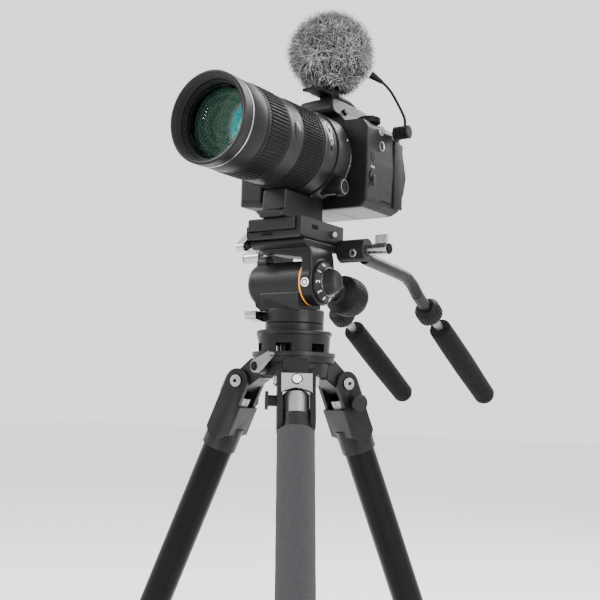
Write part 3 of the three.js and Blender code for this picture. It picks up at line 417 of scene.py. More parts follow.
def slab(name, centre, size, body, slot, material=None, bevel=0.5, turn=None):
    """A block with rounded edges, turned about its own centre."""
    work = bmesh.new()
    bmesh.ops.create_cube(work, size=1)
    bmesh.ops.scale(work, vec=Vector(size) * MM, verts=work.verts)
    bmesh.ops.bevel(work, geom=list(work.edges), offset=bevel * MM, segments=3, affect="EDGES", profile=0.5)
    if turn is not None:
        bmesh.ops.transform(work, matrix=turn.to_4x4(), verts=work.verts)
    bmesh.ops.translate(work, vec=at(*centre), verts=work.verts)
    points = [v.co.copy() for v in work.verts]
    faces = [tuple(v.index for v in f.verts) for f in work.faces]
    work.free()
    return piece_from(name, points, faces, body, slot, material)


def patch(name, middle, half, radius, height, body, slot, material=None, power=2.0):
    """A thin raised panel laid round the lens: middle is (angle, y) and half is (arc, y) in mm.
    Power 2 gives an oval, and more gives squarer corners."""
    rings, around = 6, 64
    skirt = 0.3  # how far the rim reaches below the surface
    points, faces = [], []
    for ring in range(rings + 1):
        share = ring / rings
        rise = height * (1 - share ** 6) - skirt * share ** 6
        for i in range(around):
            turn = 2 * math.pi * i / around
            c, s = math.cos(turn), math.sin(turn)
            reach = (abs(c) ** power + abs(s) ** power) ** (-1 / power) * share
            angle = rad(middle[0]) + half[0] * c * reach / radius
            points.append(at(
                (radius + rise) * math.cos(angle), middle[1] + half[1] * s * reach,
                LENS_Z + (radius + rise) * math.sin(angle),
            ))
    for ring in range(rings):
        for i in range(around):
            j = (i + 1) % around
            faces.append((
                ring * around + i, ring * around + j, (ring + 1) * around + j, (ring + 1) * around + i,
            ))
    return piece_from(name, points, faces, body, slot, material, sharp=60)


def digit(name, text, size, centre, facing, up, body, material):
    """A raised generic number."""
    curve = bpy.data.curves.new(name, "FONT")
    curve.body = text
    curve.size = size * MM
    curve.extrude = DIGIT_RAISE * MM
    curve.align_x = "CENTER"
    curve.align_y = "CENTER"
    maker = add_object(name + "_curve", curve)
    mesh = settled(maker)
    bpy.data.objects.remove(maker)
    out = Vector(facing).normalized()
    top = Vector(up).normalized()
    turn = Matrix((top.cross(out), top, out)).transposed().to_4x4()
    mesh.transform(Matrix.Translation(at(*centre)) @ turn)
    return finish_piece(add_object(name, mesh), body, material)


def even_shading():
    """Smooth faces with crisp edges, as a modifier, so that a frame mesh itself stays as it is."""
    tree = bpy.data.node_groups.new("even_shading", "GeometryNodeTree")
    tree.interface.new_socket("Geometry", in_out="INPUT", socket_type="NodeSocketGeometry")
    tree.interface.new_socket("Geometry", in_out="OUTPUT", socket_type="NodeSocketGeometry")
    start = tree.nodes.new("NodeGroupInput")
    end = tree.nodes.new("NodeGroupOutput")
    faces = tree.nodes.new("GeometryNodeSetShadeSmooth")
    faces.domain = "FACE"
    edges = tree.nodes.new("GeometryNodeSetShadeSmooth")
    edges.domain = "EDGE"
    edges.inputs["Shade Smooth"].default_value = False
    angle = tree.nodes.new("GeometryNodeInputMeshEdgeAngle")
    sharp = tree.nodes.new("FunctionNodeCompare")
    sharp.operation = "GREATER_THAN"
    sharp.inputs["B"].default_value = rad(SHARP)
    tree.links.new(angle.outputs["Unsigned Angle"], sharp.inputs["A"])
    tree.links.new(start.outputs[0], faces.inputs["Geometry"])
    tree.links.new(faces.outputs[0], edges.inputs["Geometry"])
    tree.links.new(sharp.outputs["Result"], edges.inputs["Selection"])
    tree.links.new(edges.outputs[0], end.inputs[0])
    return tree


EVEN = even_shading()


def dress(node, bevel):
    """A frame node kept as it is, with its finish, welded facets and small rounded edges."""
    piece = frame["nodes"][node]
    piece.data.materials.clear()
    piece.data.materials.append(LOOKS[node_slot[node]])
    weld = piece.modifiers.new("weld", "WELD")
    weld.merge_threshold = SAME_PLACE
    planar = piece.modifiers.new("planar", "DECIMATE")
    planar.decimate_type = "DISSOLVE"
    planar.angle_limit = rad(FLAT)
    soft = piece.modifiers.new("edges", "BEVEL")
    soft.width = bevel * MM
    soft.segments = 2
    soft.limit_method = "ANGLE"
    soft.angle_limit = rad(BEVEL_FROM)
    soft.harden_normals = True
    smooth = piece.modifiers.new("shading", "NODES")
    smooth.node_group = EVEN
    even = piece.modifiers.new("normals", "WEIGHTED_NORMAL")
    even.weight = 100
    even.keep_sharp = True


def soften(node, name, voxel, passes):
    """A cast or moulded piece: the node's shape with every edge rounded over."""
    piece = add_object(name, frame["nodes"][node].data.copy())
    remesh = piece.modifiers.new("remesh", "REMESH")
    remesh.mode = "VOXEL"
    remesh.voxel_size = voxel * MM
    smooth = piece.modifiers.new("smooth", "SMOOTH")
    smooth.factor = 0.5
    smooth.iterations = passes
    mesh = settled(piece)
    piece.modifiers.clear()
    piece.data = mesh
    slot = node_slot[node]
    return finish_piece(piece, node_body[node], LOOKS[slot], (node,), sharp=55)


def screw(name, centre, facing, radius, body):
    """A cap screw with a rounded head and a hexagonal socket, whose floor is painted near-black as painted
    shade.
    """
    spin(name, [
        (-0.4, radius), (0.7, radius), (1.1, radius * 0.9), (1.1, radius * 0.5), (0.4, radius * 0.48),
        (0.4, 0),
    ], centre, facing, body, "silver_metal", sides=40)
    # The socket's floor is a near-black disc of painted shade.
    spin(name + "_socket", [(0.42, radius * 0.44), (0.5, radius * 0.44), (0.5, 0)], centre, facing, body,
         "silver_metal", DARK_AND_PAINTED_SHADE, sides=6)


# ---- the microphone lead, first because its room is checked --------------------------------------
def smooth_route(points, steps=2):
    """A Catmull-Rom curve through the points."""
    ends = [points[0]] + list(points) + [points[-1]]
    route = []
    for i in range(1, len(ends) - 2):
        a, b, c, d = (Vector(p) for p in ends[i - 1:i + 3])
        for k in range(steps):
            t = k / steps
            route.append(0.5 * (2 * b + (c - a) * t + (2 * a - 5 * b + 4 * c - d) * t * t
                                + (3 * b - a - 3 * c + d) * t ** 3))
    route.append(Vector(points[-1]))
    return route


def make_lead():
    """The lead from the gland to the plug, along its listed route."""
    route = [at(*p) for p in smooth_route(LEAD)]
    curve = bpy.data.curves.new("microphone_lead", "CURVE")
    curve.dimensions = "3D"
    curve.bevel_depth = LEAD_RADIUS * MM
    curve.bevel_resolution = 6
    curve.use_fill_caps = True
    line = curve.splines.new("POLY")
    line.points.add(len(route) - 1)
    for point, place in zip(line.points, route):
        point.co = (*place, 1)
    lead = add_object("microphone_lead", curve)
    curve.materials.append(LOOKS["black_rubber"])
    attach(lead, "camera")
    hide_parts("mic_lead")


make_lead()
dress("mic_plug", bevel=0.3)


# ---- lens ----------------------------------------------------------------------------------------
GROOVE_R = 40  # floor of the grooves that the lens rings turn in
GLASS_R = 35.6
CROWN, BOWL = 5, 3.6  # how far the front and inner elements bulge


def lens_barrel():
    """The fixed barrel, with a threaded front rim, grooves for what turns on it and a silver line."""
    thread = []
    for i in range(9):
        thread += [(-146.5 - 0.8 * i, 39.5), (-146.9 - 0.8 * i, 40.0)]
    profile = [(-125, 0), (-125, 34), (-127, 36.4), (-141, 36.4), (-141.4, 37.4), (-143.2, 37.4),
               (-143.6, 38.6), (-146, 38.8)] + thread
    profile += [
        (-153.9, 40.8), (-154.7, 41.8), (-155, 43), (-154.7, 44.2), (-153.8, 44.9), (-144.4, 45),
        (-143.6, 44.2), (-140.8, 44.2), (-140.2, 44.6), (-119, 44.6), (-118.7, 43.7), (-118.1, 43.7),
        (-117.8, 44.6), (-117.3, 44.6), (-117.2, GROOVE_R), (-80.3, GROOVE_R), (-80.2, 44.6),
        (-59.4, 44.6), (-59.3, GROOVE_R), (-19.3, GROOVE_R), (-19.2, RING_R - 0.5), (-18.6, RING_R),
        (3.2, RING_R), (3.6, RING_R - 0.5), (3.7, GROOVE_R), (28.3, GROOVE_R), (28.4, 43), (31, 40.5),
        (34.6, 36.5), (34.7, 0),
    ]
    spin("lens_tube", profile, *LENS_AXIS, "camera", "lens_black", replaces=("lens_barrel",),
         sides=160)
    spin("lens_silver_line", [
        (-143, 44.3), (-143, 44.85), (-142.6, 45), (-141.8, 45), (-141.4, 44.85), (-141.4, 44.3),
    ], *LENS_AXIS, "camera", "silver_metal", sides=160, loop=True)


def lens_elements():
    """The clear front glass, and the element behind it, whose colours are painted reflections."""
    dome = [(-141 + CROWN * (i / 8) ** 2, GLASS_R * i / 8) for i in range(9)]
    spin("front_element", dome + [(-133.5, GLASS_R), (-133, 34), (-133, 0)], *LENS_AXIS,
         "camera", "lens_glass", replaces=("front_glass",), sides=128, sharp=60)
    # The inner element's colours are painted reflections.
    bowl = [(-126.2 - BOWL * (i / 8) ** 2, 33.5 * i / 8) for i in range(9)]
    spin("inner_element", bowl + [(-129.5, 34), (-125.6, 34), (-125.6, 0)], *LENS_AXIS,
         "camera", "lens_glass", PAINTED_REFLECTIONS, sides=128, sharp=60)


def focus_grip():
    """Fine ribs all round, between two plain edges."""
    rows = [(-117, 40.4), (-117, 44.4), (-116.6, 44.7), (-113.6, 44.7), (-113, 44.3, 44.3),
            (-112.6, 44.1, 45.3), (-85, 44.1, 45.3), (-84.6, 44.3, 44.3), (-84, 44.7), (-80.9, 44.7),
            (-80.5, 44.4), (-80.5, 40.4)]
    spin("focus_grip", rows, *LENS_AXIS, "focus", "black_rubber", replaces=("focus_ring",),
         ribs=72, loop=True, duty=0.42)


def zoom_grip():
    """Rows of small rubber pads."""
    rows = [(-59, 40.4), (-59, 44.3), (-58.6, 44.6), (-57, 44.6)]
    pads, first, last, floor = 12, -56.6, -21.4, 44.2
    flank, long = 0.25, 0.62  # of each pad: its sloping side, and its length as a share of the pitch
    pitch = (last - first) / pads
    for i in range(pads):
        y = first + i * pitch
        rows += [(y, floor, floor), (y + flank, floor, RING_R), (y + pitch * long, floor, RING_R),
                 (y + pitch * long + flank, floor, floor)]
    rows += [(-21, 44.6), (-19.9, 44.6), (-19.5, 44.3), (-19.5, 40.4)]
    spin("zoom_grip", rows, *LENS_AXIS, "zoom", "black_rubber", replaces=("zoom_ring",),
         ribs=84, loop=True, duty=0.5)


def lens_trim():
    """The oval plate, the switch panel and the index dots."""
    oval, switch_y, panel = (4, -69.5), -8.5, RING_R + 0.3
    patch("lens_oval", oval, (10, 6.5), BARREL_R, 0.5, "camera", "lens_black")
    patch("lens_oval_inlay", oval, (8.4, 5.2), BARREL_R + 0.5, 0.15, "camera", "lens_black", GLOSS)
    patch("switch_panel", (12, switch_y), (24, 8), RING_R - 0.2, 0.5, "camera", "lens_black", GLOSS, 7)
    for i, angle in enumerate((26, 2)):
        # Each slot is a flat near-black patch of painted shade.
        patch(f"switch_slot_{i + 1}", (angle, switch_y), (6.5, 2.6), panel, 0.1, "camera", "lens_black",
              DARK_AND_PAINTED_SHADE, power=6)
        patch(f"switch_slider_{i + 1}", (angle + 2, switch_y), (2.6, 1.9), panel, 0.5, "camera",
              "silver_metal", LOOKS["grey_metal"], power=5)
        patch(f"switch_mark_{i + 1}", (angle + 10, switch_y), (0.6, 2.2), panel, 0.2, "camera",
              "lens_black", WHITE, power=4)
    patch("zoom_index_dot", (62, -1), (1.1, 1.1), RING_R, 0.2, "camera", "lens_black", WHITE)
    patch("collar_index_dot", (18, 24), (0.9, 0.9), 47, 0.2, "plate", "lens_black", WHITE)


def collar_knob():
    """The knob that clamps the tripod collar, with its bright edge."""
    axis = ((0, 16, 156), (1, 0, 0))
    spin("collar_knob_grip", [
        (33, 0), (33, 3), (38.3, 3), (38.4, 8.2, 8.2), (39.4, 8.6, 9.4), (46, 8.6, 9.4), (47.2, 8, 8.4),
        (47.5, 6.8), (47.5, 6.2), (46.9, 5.8), (46.9, 0),
    ], *axis, "band_knob", "black_metal", replaces=("collar_knob",), ribs=26)
    spin("collar_knob_edge", [(47.1, 6.9), (47.6, 6.9), (47.6, 7.6), (47.1, 7.6)], *axis, "band_knob",
         "silver_metal", loop=True)


lens_barrel()
lens_elements()
focus_grip()
zoom_grip()
lens_trim()
dress("tripod_collar", bevel=0.8)
collar_knob()


# ---- camera --------------------------------------------------------------------------------------
def camera_shell():
    """The rounded body, the lens mount and the grey base round the battery door."""
    soften("camera_body", "camera_shell", 1.2, 7)
    spin("lens_mount_ring", [(36.2, 38), (36.2, 41), (37.4, 41.6), (38.6, 41.6), (38.6, 38)],
         *LENS_AXIS, "camera", "silver_metal", loop=True)
    edges = (("grip", -73, 13.2, 42, 105), ("front", 13.7, 53, 42, 65.2), ("rear", 13.7, 53, 102.8, 105))
    for edge, x0, x1, y0, y1 in edges:
        slab(f"base_plate_{edge}", ((x0 + x1) / 2, (y0 + y1) / 2, BODY_BOTTOM), (x1 - x0, y1 - y0, 0.5),
             "camera", "door_grey", bevel=0.2)


def port_side():
    """The socket door, caps, buttons, focus lever and strap lug."""
    port = (1, 0, 0)
    face = BODY_PORT + 0.8
    # The seams round the door are thin near-black strips of painted shade.
    slab("port_door_seam", (face, 96, 184), (0.9, 1.2, 76), "camera", "body_black", DARK_AND_PAINTED_SHADE, bevel=0.3)
    slab("port_door", (face - 0.2, 107, 184), (1.8, 19, 74), "camera", "body_black",
         LOOKS["black_rubber"], 0.8)
    slab("port_door_seam_low", (face, 84, 150), (0.8, 26, 1.0), "camera", "body_black", DARK_AND_PAINTED_SHADE, bevel=0.3)
    spin("sync_cap", [
        (-1, 5.4), (1.4, 5.4), (2.2, 4.9), (2.2, 3.6), (1.6, 3.2), (1.6, 1.6), (2.3, 1.3), (2.3, 0),
    ], (BODY_PORT, 68, 226), port, "camera", "silver_metal", sides=48)
    button = (BODY_PORT + 0.4, 68, 209)
    spin("side_button_ring", [(-1, 4.2), (1.3, 4.2), (1.7, 4.6), (1.7, 5.4), (-1, 5.6)], button, port,
         "camera", "silver_metal", loop=True, sides=48)
    spin("side_button", [(-1, 4.1), (1.2, 4.1), (1.6, 3.4), (1.7, 0)], button, port, "camera",
         "black_rubber", sides=48)
    spin("lens_release", [(-1, 5.6), (2.6, 5.6), (3.4, 4.8), (3.5, 0)], (BODY_PORT - 2, 50, 194), port,
         "camera", "black_rubber", sides=48)
    spin("focus_mode_hub", [(-1, 6.4), (2.2, 6.4), (3, 5.6), (3, 0)], (BODY_PORT - 1, 50, 174), port,
         "camera", "body_black", sides=48)
    slab("focus_mode_lever", (BODY_PORT + 2.6, 50, 168), (2.2, 3.4, 11), "camera", "body_black", GLOSS, 0.9)
    for i in range(3):
        slab(f"focus_mode_mark_{i + 1}", (BODY_PORT + 0.9, 47 + 3 * i, 183), (0.4, 0.7, 2.4), "camera",
             "body_black", WHITE, 0.15)
    spin("strap_lug", [(-0.8, 2.6), (0, 3.3), (0.8, 2.6), (0.8, 4.6), (0, 5.2), (-0.8, 4.6)],
         (BODY_PORT + 1, 104, 228), (0, 1, 0.2), "camera", "silver_metal", loop=True, sides=40)


def front_and_top():
    """The prism's step and button, mode dial, shoe, shutter button and battery door."""
    slab("prism_front_step", (0, 29.5, 251), (30, 2.2, 6), "camera", "body_black", LOOKS["body_black"], 0.9)
    spin("prism_button", [(-1, 3.6), (1.2, 3.6), (1.8, 3), (1.8, 0)], (25, 50, 247), (1, 0, 0.35), "camera",
         "black_rubber", sides=40)
    dial_x, dial_y, keys, key_circle = 46, 66, 3, 6
    spin("mode_dial_grip", [
        (0, 0), (0, 4), (4.8, 4), (5, 11.6, 11.6), (5.6, 11.7, 12.5), (10.4, 11.7, 12.5), (11.3, 11.2, 11.4),
        (11.8, 10), (11.8, 0),
    ], (dial_x, dial_y, 230.3), (0, 0, 1), "mode", "body_black", replaces=("mode_dial",), ribs=36)
    for i in range(keys):
        angle = rad(90 + 360 / keys * i)
        place = (dial_x + key_circle * math.cos(angle), dial_y + key_circle * math.sin(angle), 241.9)
        spin(f"mode_dial_key_{i + 1}", [(0, 3), (0.7, 3), (1, 2.6), (1, 0)], place, (0, 0, 1), "mode",
             "body_black", GLOSS, sides=32)
    spin("hot_shoe_rail", [(0, 0), (0, 10), (1, 10), (1, 0)], (0, MIC_Y, 264), (0, 0, 1), "camera",
         "silver_metal", sides=4)
    shutter = (-66, 26, 226)
    spin("shutter_key", [
        (-3.6, 0), (-3.6, 2.9), (0.7, 2.9), (0.9, 3.4), (1.9, 3.6), (2.3, 3.2), (2.1, 2), (1.9, 0),
    ], shutter, (0, 0, 1), "shutter", "black_metal", replaces=("shutter_button",), sides=56)
    spin("shutter_bezel", [(-0.6, 4.2), (0.5, 4.2), (0.9, 4.6), (0.9, 5.6), (0.4, 6.2), (-0.6, 6.2)],
         shutter, (0, 0, 1), "camera", "silver_metal", LOOKS["grey_metal"], sides=56, loop=True)
    dress("battery_door", bevel=0.3)


def rear_surface(z):
    """How far back the camera's rear reaches at a height. It is furthest back at mid height."""
    profile = ((139, 106), (144, 112), (167, 122), (185, 127), (209, 120), (230, 110))
    for (low, start), (high, end) in zip(profile, profile[1:]):
        if z <= high:
            return start + (end - start) * (z - low) / (high - low)
    return profile[-1][1]


def back_side():
    """The screen, top display, eyecup, keys and pad."""
    x, z = -12, 186
    slab("rear_screen_frame", (x, 123, z), (86, 12, 48), "camera", "body_black", bevel=1.8)
    slab("rear_screen", (x, 128.9, z), (76, 0.7, 40), "camera", "body_black", GLOSS, 0.3)
    slab("rear_screen_border", (x, 128.75, z), (78.5, 0.6, 42.5), "camera", "body_black", DARK_AND_PAINTED_SHADE, 0.25)
    shoulder_slope = Matrix.Rotation(rad(-6.8), 3, "Y")
    slab("top_display", (-56, 76, 231.6), (31, 24, 1.6), "camera", "body_black", GLOSS, 0.6,
         shoulder_slope)
    slab("eyecup", (0, 115, 250), (36, 12, 24), "camera", "black_rubber", bevel=4)
    slab("eyepiece", (0, 121.2, 250), (22, 1, 13), "camera", "body_black", GLOSS, 0.4)
    for i in range(5):
        z = 206 - 11 * i
        spin(f"rear_key_{i + 1}", [(0, 3.6), (1.4, 3.6), (1.9, 3), (2, 0)], (44, rear_surface(z) - 0.8, z),
             (0, 1, 0), "camera", "black_rubber", sides=36)
    pad_z = 190
    spin("rear_pad", [(0, 10), (1.4, 10), (2.2, 9), (1.8, 5), (2.6, 4.4), (2.6, 0)],
         (-67, rear_surface(pad_z) - 0.6, pad_z), (0, 1, 0), "camera", "black_rubber", sides=56)


camera_shell()
port_side()
front_and_top()
back_side()


# ---- microphone ----------------------------------------------------------------------------------
BALL_Z, BALL_R, NECK_Z = 318, 45.5, 277
STRANDS = 12500
NECK_SHARE = 0.12  # of the strands, those that cover the neck
STRAND_RINGS, STRAND_SIDES = 5, 3


def fur_core():
    """The dark ball and neck that the strands grow from."""
    core_r, steps = BALL_R - 6, 19
    core = [(NECK_Z - 0.8, 0), (NECK_Z - 0.8, 13), (NECK_Z + 4, 18)]
    for i in range(steps + 1):
        angle = -rad(54) + (rad(144) * i) / steps
        core.append((BALL_Z + core_r * math.sin(angle), max(0.0, core_r * math.cos(angle))))
    core[-1] = (core[-1][0], 0)
    return spin("windshield_core", core, (0, MIC_Y, 0), (0, 0, 1), "camera", "fur", DARK_AND_PAINTED_SHADE,
                replaces=("mic_windshield",), sides=64, sharp=80)


def strand_root(rng, on_neck):
    """Where a strand grows from, which way it stands and how long it is."""
    turn = rng.uniform(0, 2 * math.pi)
    if on_neck:
        fall = rng.uniform(0, 1)
        ring = 17 + 12 * fall
        root = Vector((ring * math.cos(turn), MIC_Y + ring * math.sin(turn), NECK_Z + 2 + 9 * fall))
        out = Vector((math.cos(turn), math.sin(turn), -0.35)).normalized()
        return root, out, rng.uniform(6, 11)
    height = rng.uniform(-0.93, 1)
    flat = math.sqrt(1 - height * height)
    out = Vector((flat * math.cos(turn), flat * math.sin(turn), height))
    shrink = 1 - 0.24 * max(0.0, -height - 0.35) / 0.6
    root = Vector((0, MIC_Y, BALL_Z)) + out * (BALL_R - 8) * shrink
    return root, out, rng.uniform(10, 19) * (0.75 if height < -0.6 else 1)


def grow_strand(rng, on_neck, points, faces, shades):
    """One tapered strand that curls to a random side, shaded with its neighbours and paler at its tip."""
    root, out, length = strand_root(rng, on_neck)
    swirl = out.cross(Vector((rng.gauss(0, 1), rng.gauss(0, 1), rng.gauss(0, 1)))).normalized()
    clump = 0.5 + 0.9 * noise.noise(root * 0.11)
    tone = 0.5 * rng.betavariate(1.1, 1.4) + 0.5 * min(1.0, max(0.0, clump))
    bend, width = rng.uniform(0.5, 1.9), rng.uniform(0.26, 0.5)
    lift = out
    place = root
    across = out.cross(swirl).normalized()
    base = len(points)
    for k in range(STRAND_RINGS):
        share = k / (STRAND_RINGS - 1)
        thick = width * (1 - share) ** 0.7 + 0.03
        for side in range(STRAND_SIDES):
            spoke = 2 * math.pi * side / STRAND_SIDES
            points.append(at(*(place + (across * math.cos(spoke) + swirl * math.sin(spoke)) * thick)))
            shades.append(min(1.0, tone * (0.3 + 1.0 * share)))
        lift = (lift + swirl * bend * 0.42 + Vector((0, 0, -0.05))).normalized()
        place = place + lift * length / (STRAND_RINGS - 1)
    for k in range(STRAND_RINGS - 1):
        for side in range(STRAND_SIDES):
            a = base + k * STRAND_SIDES + side
            b = base + k * STRAND_SIDES + (side + 1) % STRAND_SIDES
            faces.append((a, b, b + STRAND_SIDES, a + STRAND_SIDES))
    tip = base + (STRAND_RINGS - 1) * STRAND_SIDES
    faces.append(tuple(range(base, base + STRAND_SIDES)))
    faces.append(tuple(range(tip, tip + STRAND_SIDES)))


def windshield():
    """Curled strands over a dark core, longest round the ball and short at the neck."""
    ball = fur_core()
    rng = random.Random(7)
    points, faces, shades = [], [], []
    for strand in range(STRANDS):
        grow_strand(rng, strand < STRANDS * NECK_SHARE, points, faces, shades)
    mesh = bpy.data.meshes.new("windshield_fur")
    mesh.from_pydata([tuple(p) for p in points], [], faces)
    shade = mesh.attributes.new("shade", "FLOAT", "POINT")
    shade.data.foreach_set("value", shades)
    hair = add_object("windshield_fur", mesh)
    finish_piece(hair, "camera", LOOKS["fur"], ("mic_windshield",), sharp=80)


def gland():
    """A tapered, grooved strain relief from the windshield to where the lead starts."""
    start, end = Vector((36, 85.3, 297.8)), Vector(LEAD[0])
    along = end - start
    grooves, wide, taper = 6, 4.6, 2.5
    stations = [(0, wide)]
    for i in range(grooves):
        share = (i + 0.5) / (grooves + 0.5)
        size = wide - taper * share
        stations += [(along.length * share, size), (along.length * (share + 0.06), size - 0.5),
                     (along.length * (share + 0.09), size - 0.1)]
    stations += [(along.length * 0.99, LEAD_RADIUS + 0.25), (along.length * 0.99, 0)]
    spin("microphone_gland", stations, start, along, "camera", "black_rubber", replaces=("mic_gland",),
         sides=32)


windshield()
gland()
dress("mic_mount", bevel=0.9)


# ---- fluid head ----------------------------------------------------------------------------------
def drag_dial():
    """A dial with a ribbed rim, and plain numbers on its cone."""
    start = 38.3  # inner face, along the tilt axis
    spin("drag_dial_face", [
        (start, 0), (start, 20.4, 20.4), (start + 0.3, 20.2, 21), (start + 2.3, 20.2, 21),
        (start + 2.6, 20, 20.2), (start + 6.6, 15.2), (start + 7, 14.2), (start + 13.6, 12),
        (start + 15, 11.2), (start + 16.6, 10), (start + 17, 8.6), (start + 16.2, 6), (start + 16.2, 0),
    ], *TILT_AXIS, "dial", "black_metal", replaces=("drag_dial",), ribs=60)
    spin("drag_dial_edge", [
        (start + 6.7, 14.1), (start + 7.2, 14.1), (start + 7.2, 14.8), (start + 6.7, 14.8),
    ], *TILT_AXIS, "dial", "silver_metal", loop=True)
    circle, out, outward = 17.85, 0.78, 0.62  # where the numbers stand on the cone, and its slope
    for i in range(8):
        angle = rad(64 - 34 * i)
        y, z = math.cos(angle), math.sin(angle)
        digit(f"drag_number_{i}", str(i), 6.2, (start + 4.75, TILT[0] - circle * y, TILT[1] + circle * z),
              (out, -outward * y, outward * z), (-outward, -out * y, out * z), "dial", WHITE)


def head_trim():
    """The amber ring, badge, slots, screws and plate pins."""
    spin("amber_ring", [(22.75, 17), (22.75, 23.2), (23, 23.5), (24.1, 23.5), (24.4, 23.2), (24.4, 17)],
         *TILT_AXIS, "head", "black_metal", AMBER, loop=True)
    badge = ((31, -29.7, 52), (0, -1, 0))
    spin("badge_disc", [(-0.6, 4.6), (0.5, 4.6), (0.8, 4.2), (0.8, 0)], *badge, "cradle", "silver_metal",
         WHITE, sides=48)
    spin("badge_ring", [(0.8, 2.1), (1, 2.1), (1, 3.1), (0.8, 3.1)], *badge, "cradle", "black_metal", DARK_AND_PAINTED_SHADE,
         sides=48, loop=True)
    # The two slots are thin near-black slabs of painted shade.
    slab("plate_side_slot", (34.1, -18, 109), (0.5, 11, 4.4), "cradle", "black_metal", DARK_AND_PAINTED_SHADE, 0.2)
    slab("plate_front_slot", (-8, -42.9, 101), (14, 0.5, 3), "cradle", "black_metal", DARK_AND_PAINTED_SHADE, 0.2)
    screw("cup_screw", (-30.4, -22, -1), (-0.81, -0.585, 0), 2.4, "stand")
    screw("lug_screw", (-38.4, -10, 76), (-1, 0, 0), 3.2, "head")
    for i in range(2):
        spin(f"plate_pin_{i + 1}", [(0, 2), (7, 2), (7.6, 1.5), (7.6, 0)], (30, -8 - 7 * i, 88),
             (0.5, -0.2, -1), "cradle", "silver_metal", sides=32)


def rear_knob():
    """A knob on a stalk, with a ribbed dome at its far end."""
    droop, dome_r, dome_at = rad(5), 22, 74
    rows = [(-9, 0), (-9, 4), (0.3, 4), (0.4, 8), (39.8, 8), (42, 11), (52, 11)]
    rows += [(55.6, 17.6), (56.4, 18.4, 18.4), (57.6, 20.4, 21.2), (62, 21.2, 22)]
    for i in range(9):
        angle = rad(10 * i)
        size = dome_r * math.cos(angle)
        rows.append((dome_at + dome_r * math.sin(angle), size - 0.8 * math.cos(angle), size))
    rows.append((dome_at + dome_r, 0))
    spin("rear_knob_dome", rows, (10, 18, 56), (0, math.cos(droop), -math.sin(droop)), "knob", "black_rubber",
         replaces=("rear_knob",), ribs=54, sharp=50)


drag_dial()
head_trim()
rear_knob()
for part in ("crown", "head_housing", "plate_clamp", "quick_plate", "counterbalance_cap", "levelling_cup"):
    dress(part, bevel=0.6)
soften("tilt_cradle", "swept_cradle", 0.8, 5)
for part in ("cup_clamp_lever", "pan_lock_lever", "plate_lock_lever", "plate_release_button"):
    dress(part, bevel=0.7)
clamp_turn = rad(-18)
spin("clamp_lever_cap", [(49.6, 4.6), (50.6, 4.6), (51.2, 4.1), (51.2, 0)], (0, 0, -32.6),
     (math.sin(clamp_turn), -math.cos(clamp_turn), 0), "cup_lever", "black_rubber", DARK_AND_PAINTED_SHADE, sides=48)


# ---- pan handles ---------------------------------------------------------------------------------
def pan_handle(side, sign):
    """One pan handle, from its toothed joint to its foam grip. Sign is 1 to port, else -1."""
    slope = rad(GRIP_SLOPE)
    down = (0, math.cos(slope), -math.sin(slope))
    collar = (sign * HANDLE_X, *COLLAR)
    dress(f"{side}_handle_tube", bevel=0.5)
    dress(f"{side}_handle_lever", bevel=0.5)
    dress(f"{side}_handle_rod", bevel=0.4)
    spin(f"{side}_twist_collar", [
        (-11, 7.4), (-11, 10.8, 10.8), (-6.4, 13.8, 14.8), (-5.4, 14, 15), (7, 14, 15), (8, 13.6, 14.6),
        (11, 11.6, 11.8), (11, 5.4), (9.3, 5.4), (9.3, 7.4),
    ], collar, down, f"{side}_collar", "black_rubber", replaces=(f"{side}_handle_collar",), ribs=22,
         loop=True)
    grip = [(33, 5.4), (33, 10.6), (33.6, 12), (35.4, 13)]
    steps, swell = 11, 0.7  # the grip is thickest near its middle
    for i in range(steps + 1):
        share = i / steps
        grip.append((38 + 146 * share, 13.1 + swell * math.sin(math.pi * min(1, share * 1.1))))
    grip += [(189, 13), (193, 11.2), (196, 8), (197, 4), (197, 0)]
    foam_grip = spin(f"{side}_foam_grip", grip, collar, down, f"{side}_grip", "handle_foam",
                     replaces=(f"{side}_handle_foam",), sides=72, sharp=50)
    rosette = ((0, *ROSETTE), (sign, 0, 0))
    spin(f"{side}_lever_cap", [(90.3, 5.6), (91.6, 5.6), (92.3, 5), (92.3, 0)], *rosette, f"{side}_lever",
         "black_rubber", DARK_AND_PAINTED_SHADE, sides=40)
    spin(f"{side}_rosette_teeth", [
        (42, 9.6), (42, 11.2, 11.2), (42.15, 11.4, 12), (42.25, 11.4, 12), (42.28, 9.6),
    ], *rosette, "cradle", "black_metal", ribs=48, loop=True)
    screw(f"{side}_pivot_screw", (sign * 55, ROSETTE[0] - 12, ROSETTE[1] - 4), (0, -1, -0.2), 4.2,
          f"{side}_handle")


pan_handle("port", 1)
pan_handle("grip", -1)


# ---- legs ----------------------------------------------------------------------------------------
TUBE_R, NECK_R = 16, 12.6
TUBE_END = 490  # upper tube, from the hinge
INNER_R, INNER_BORE, INNER_END = 12.9, 11.1, 584
BOLT_END = 21.2


def leg_frame(azimuth):
    """A leg's hinge, the direction down its tube, the one its latch faces and its hinge axis."""
    turn, spread = rad(azimuth), rad(LEG_SPREAD)
    out = Vector((math.sin(turn), -math.cos(turn), 0))
    hinge = out * HINGE_R + Vector((0, 0, HINGE_Z))
    down = out * math.sin(spread) - Vector((0, 0, math.cos(spread)))
    face = out * math.cos(spread) + Vector((0, 0, math.sin(spread)))
    axle = Vector((math.cos(turn), math.sin(turn), 0))
    return hinge, down, face, axle


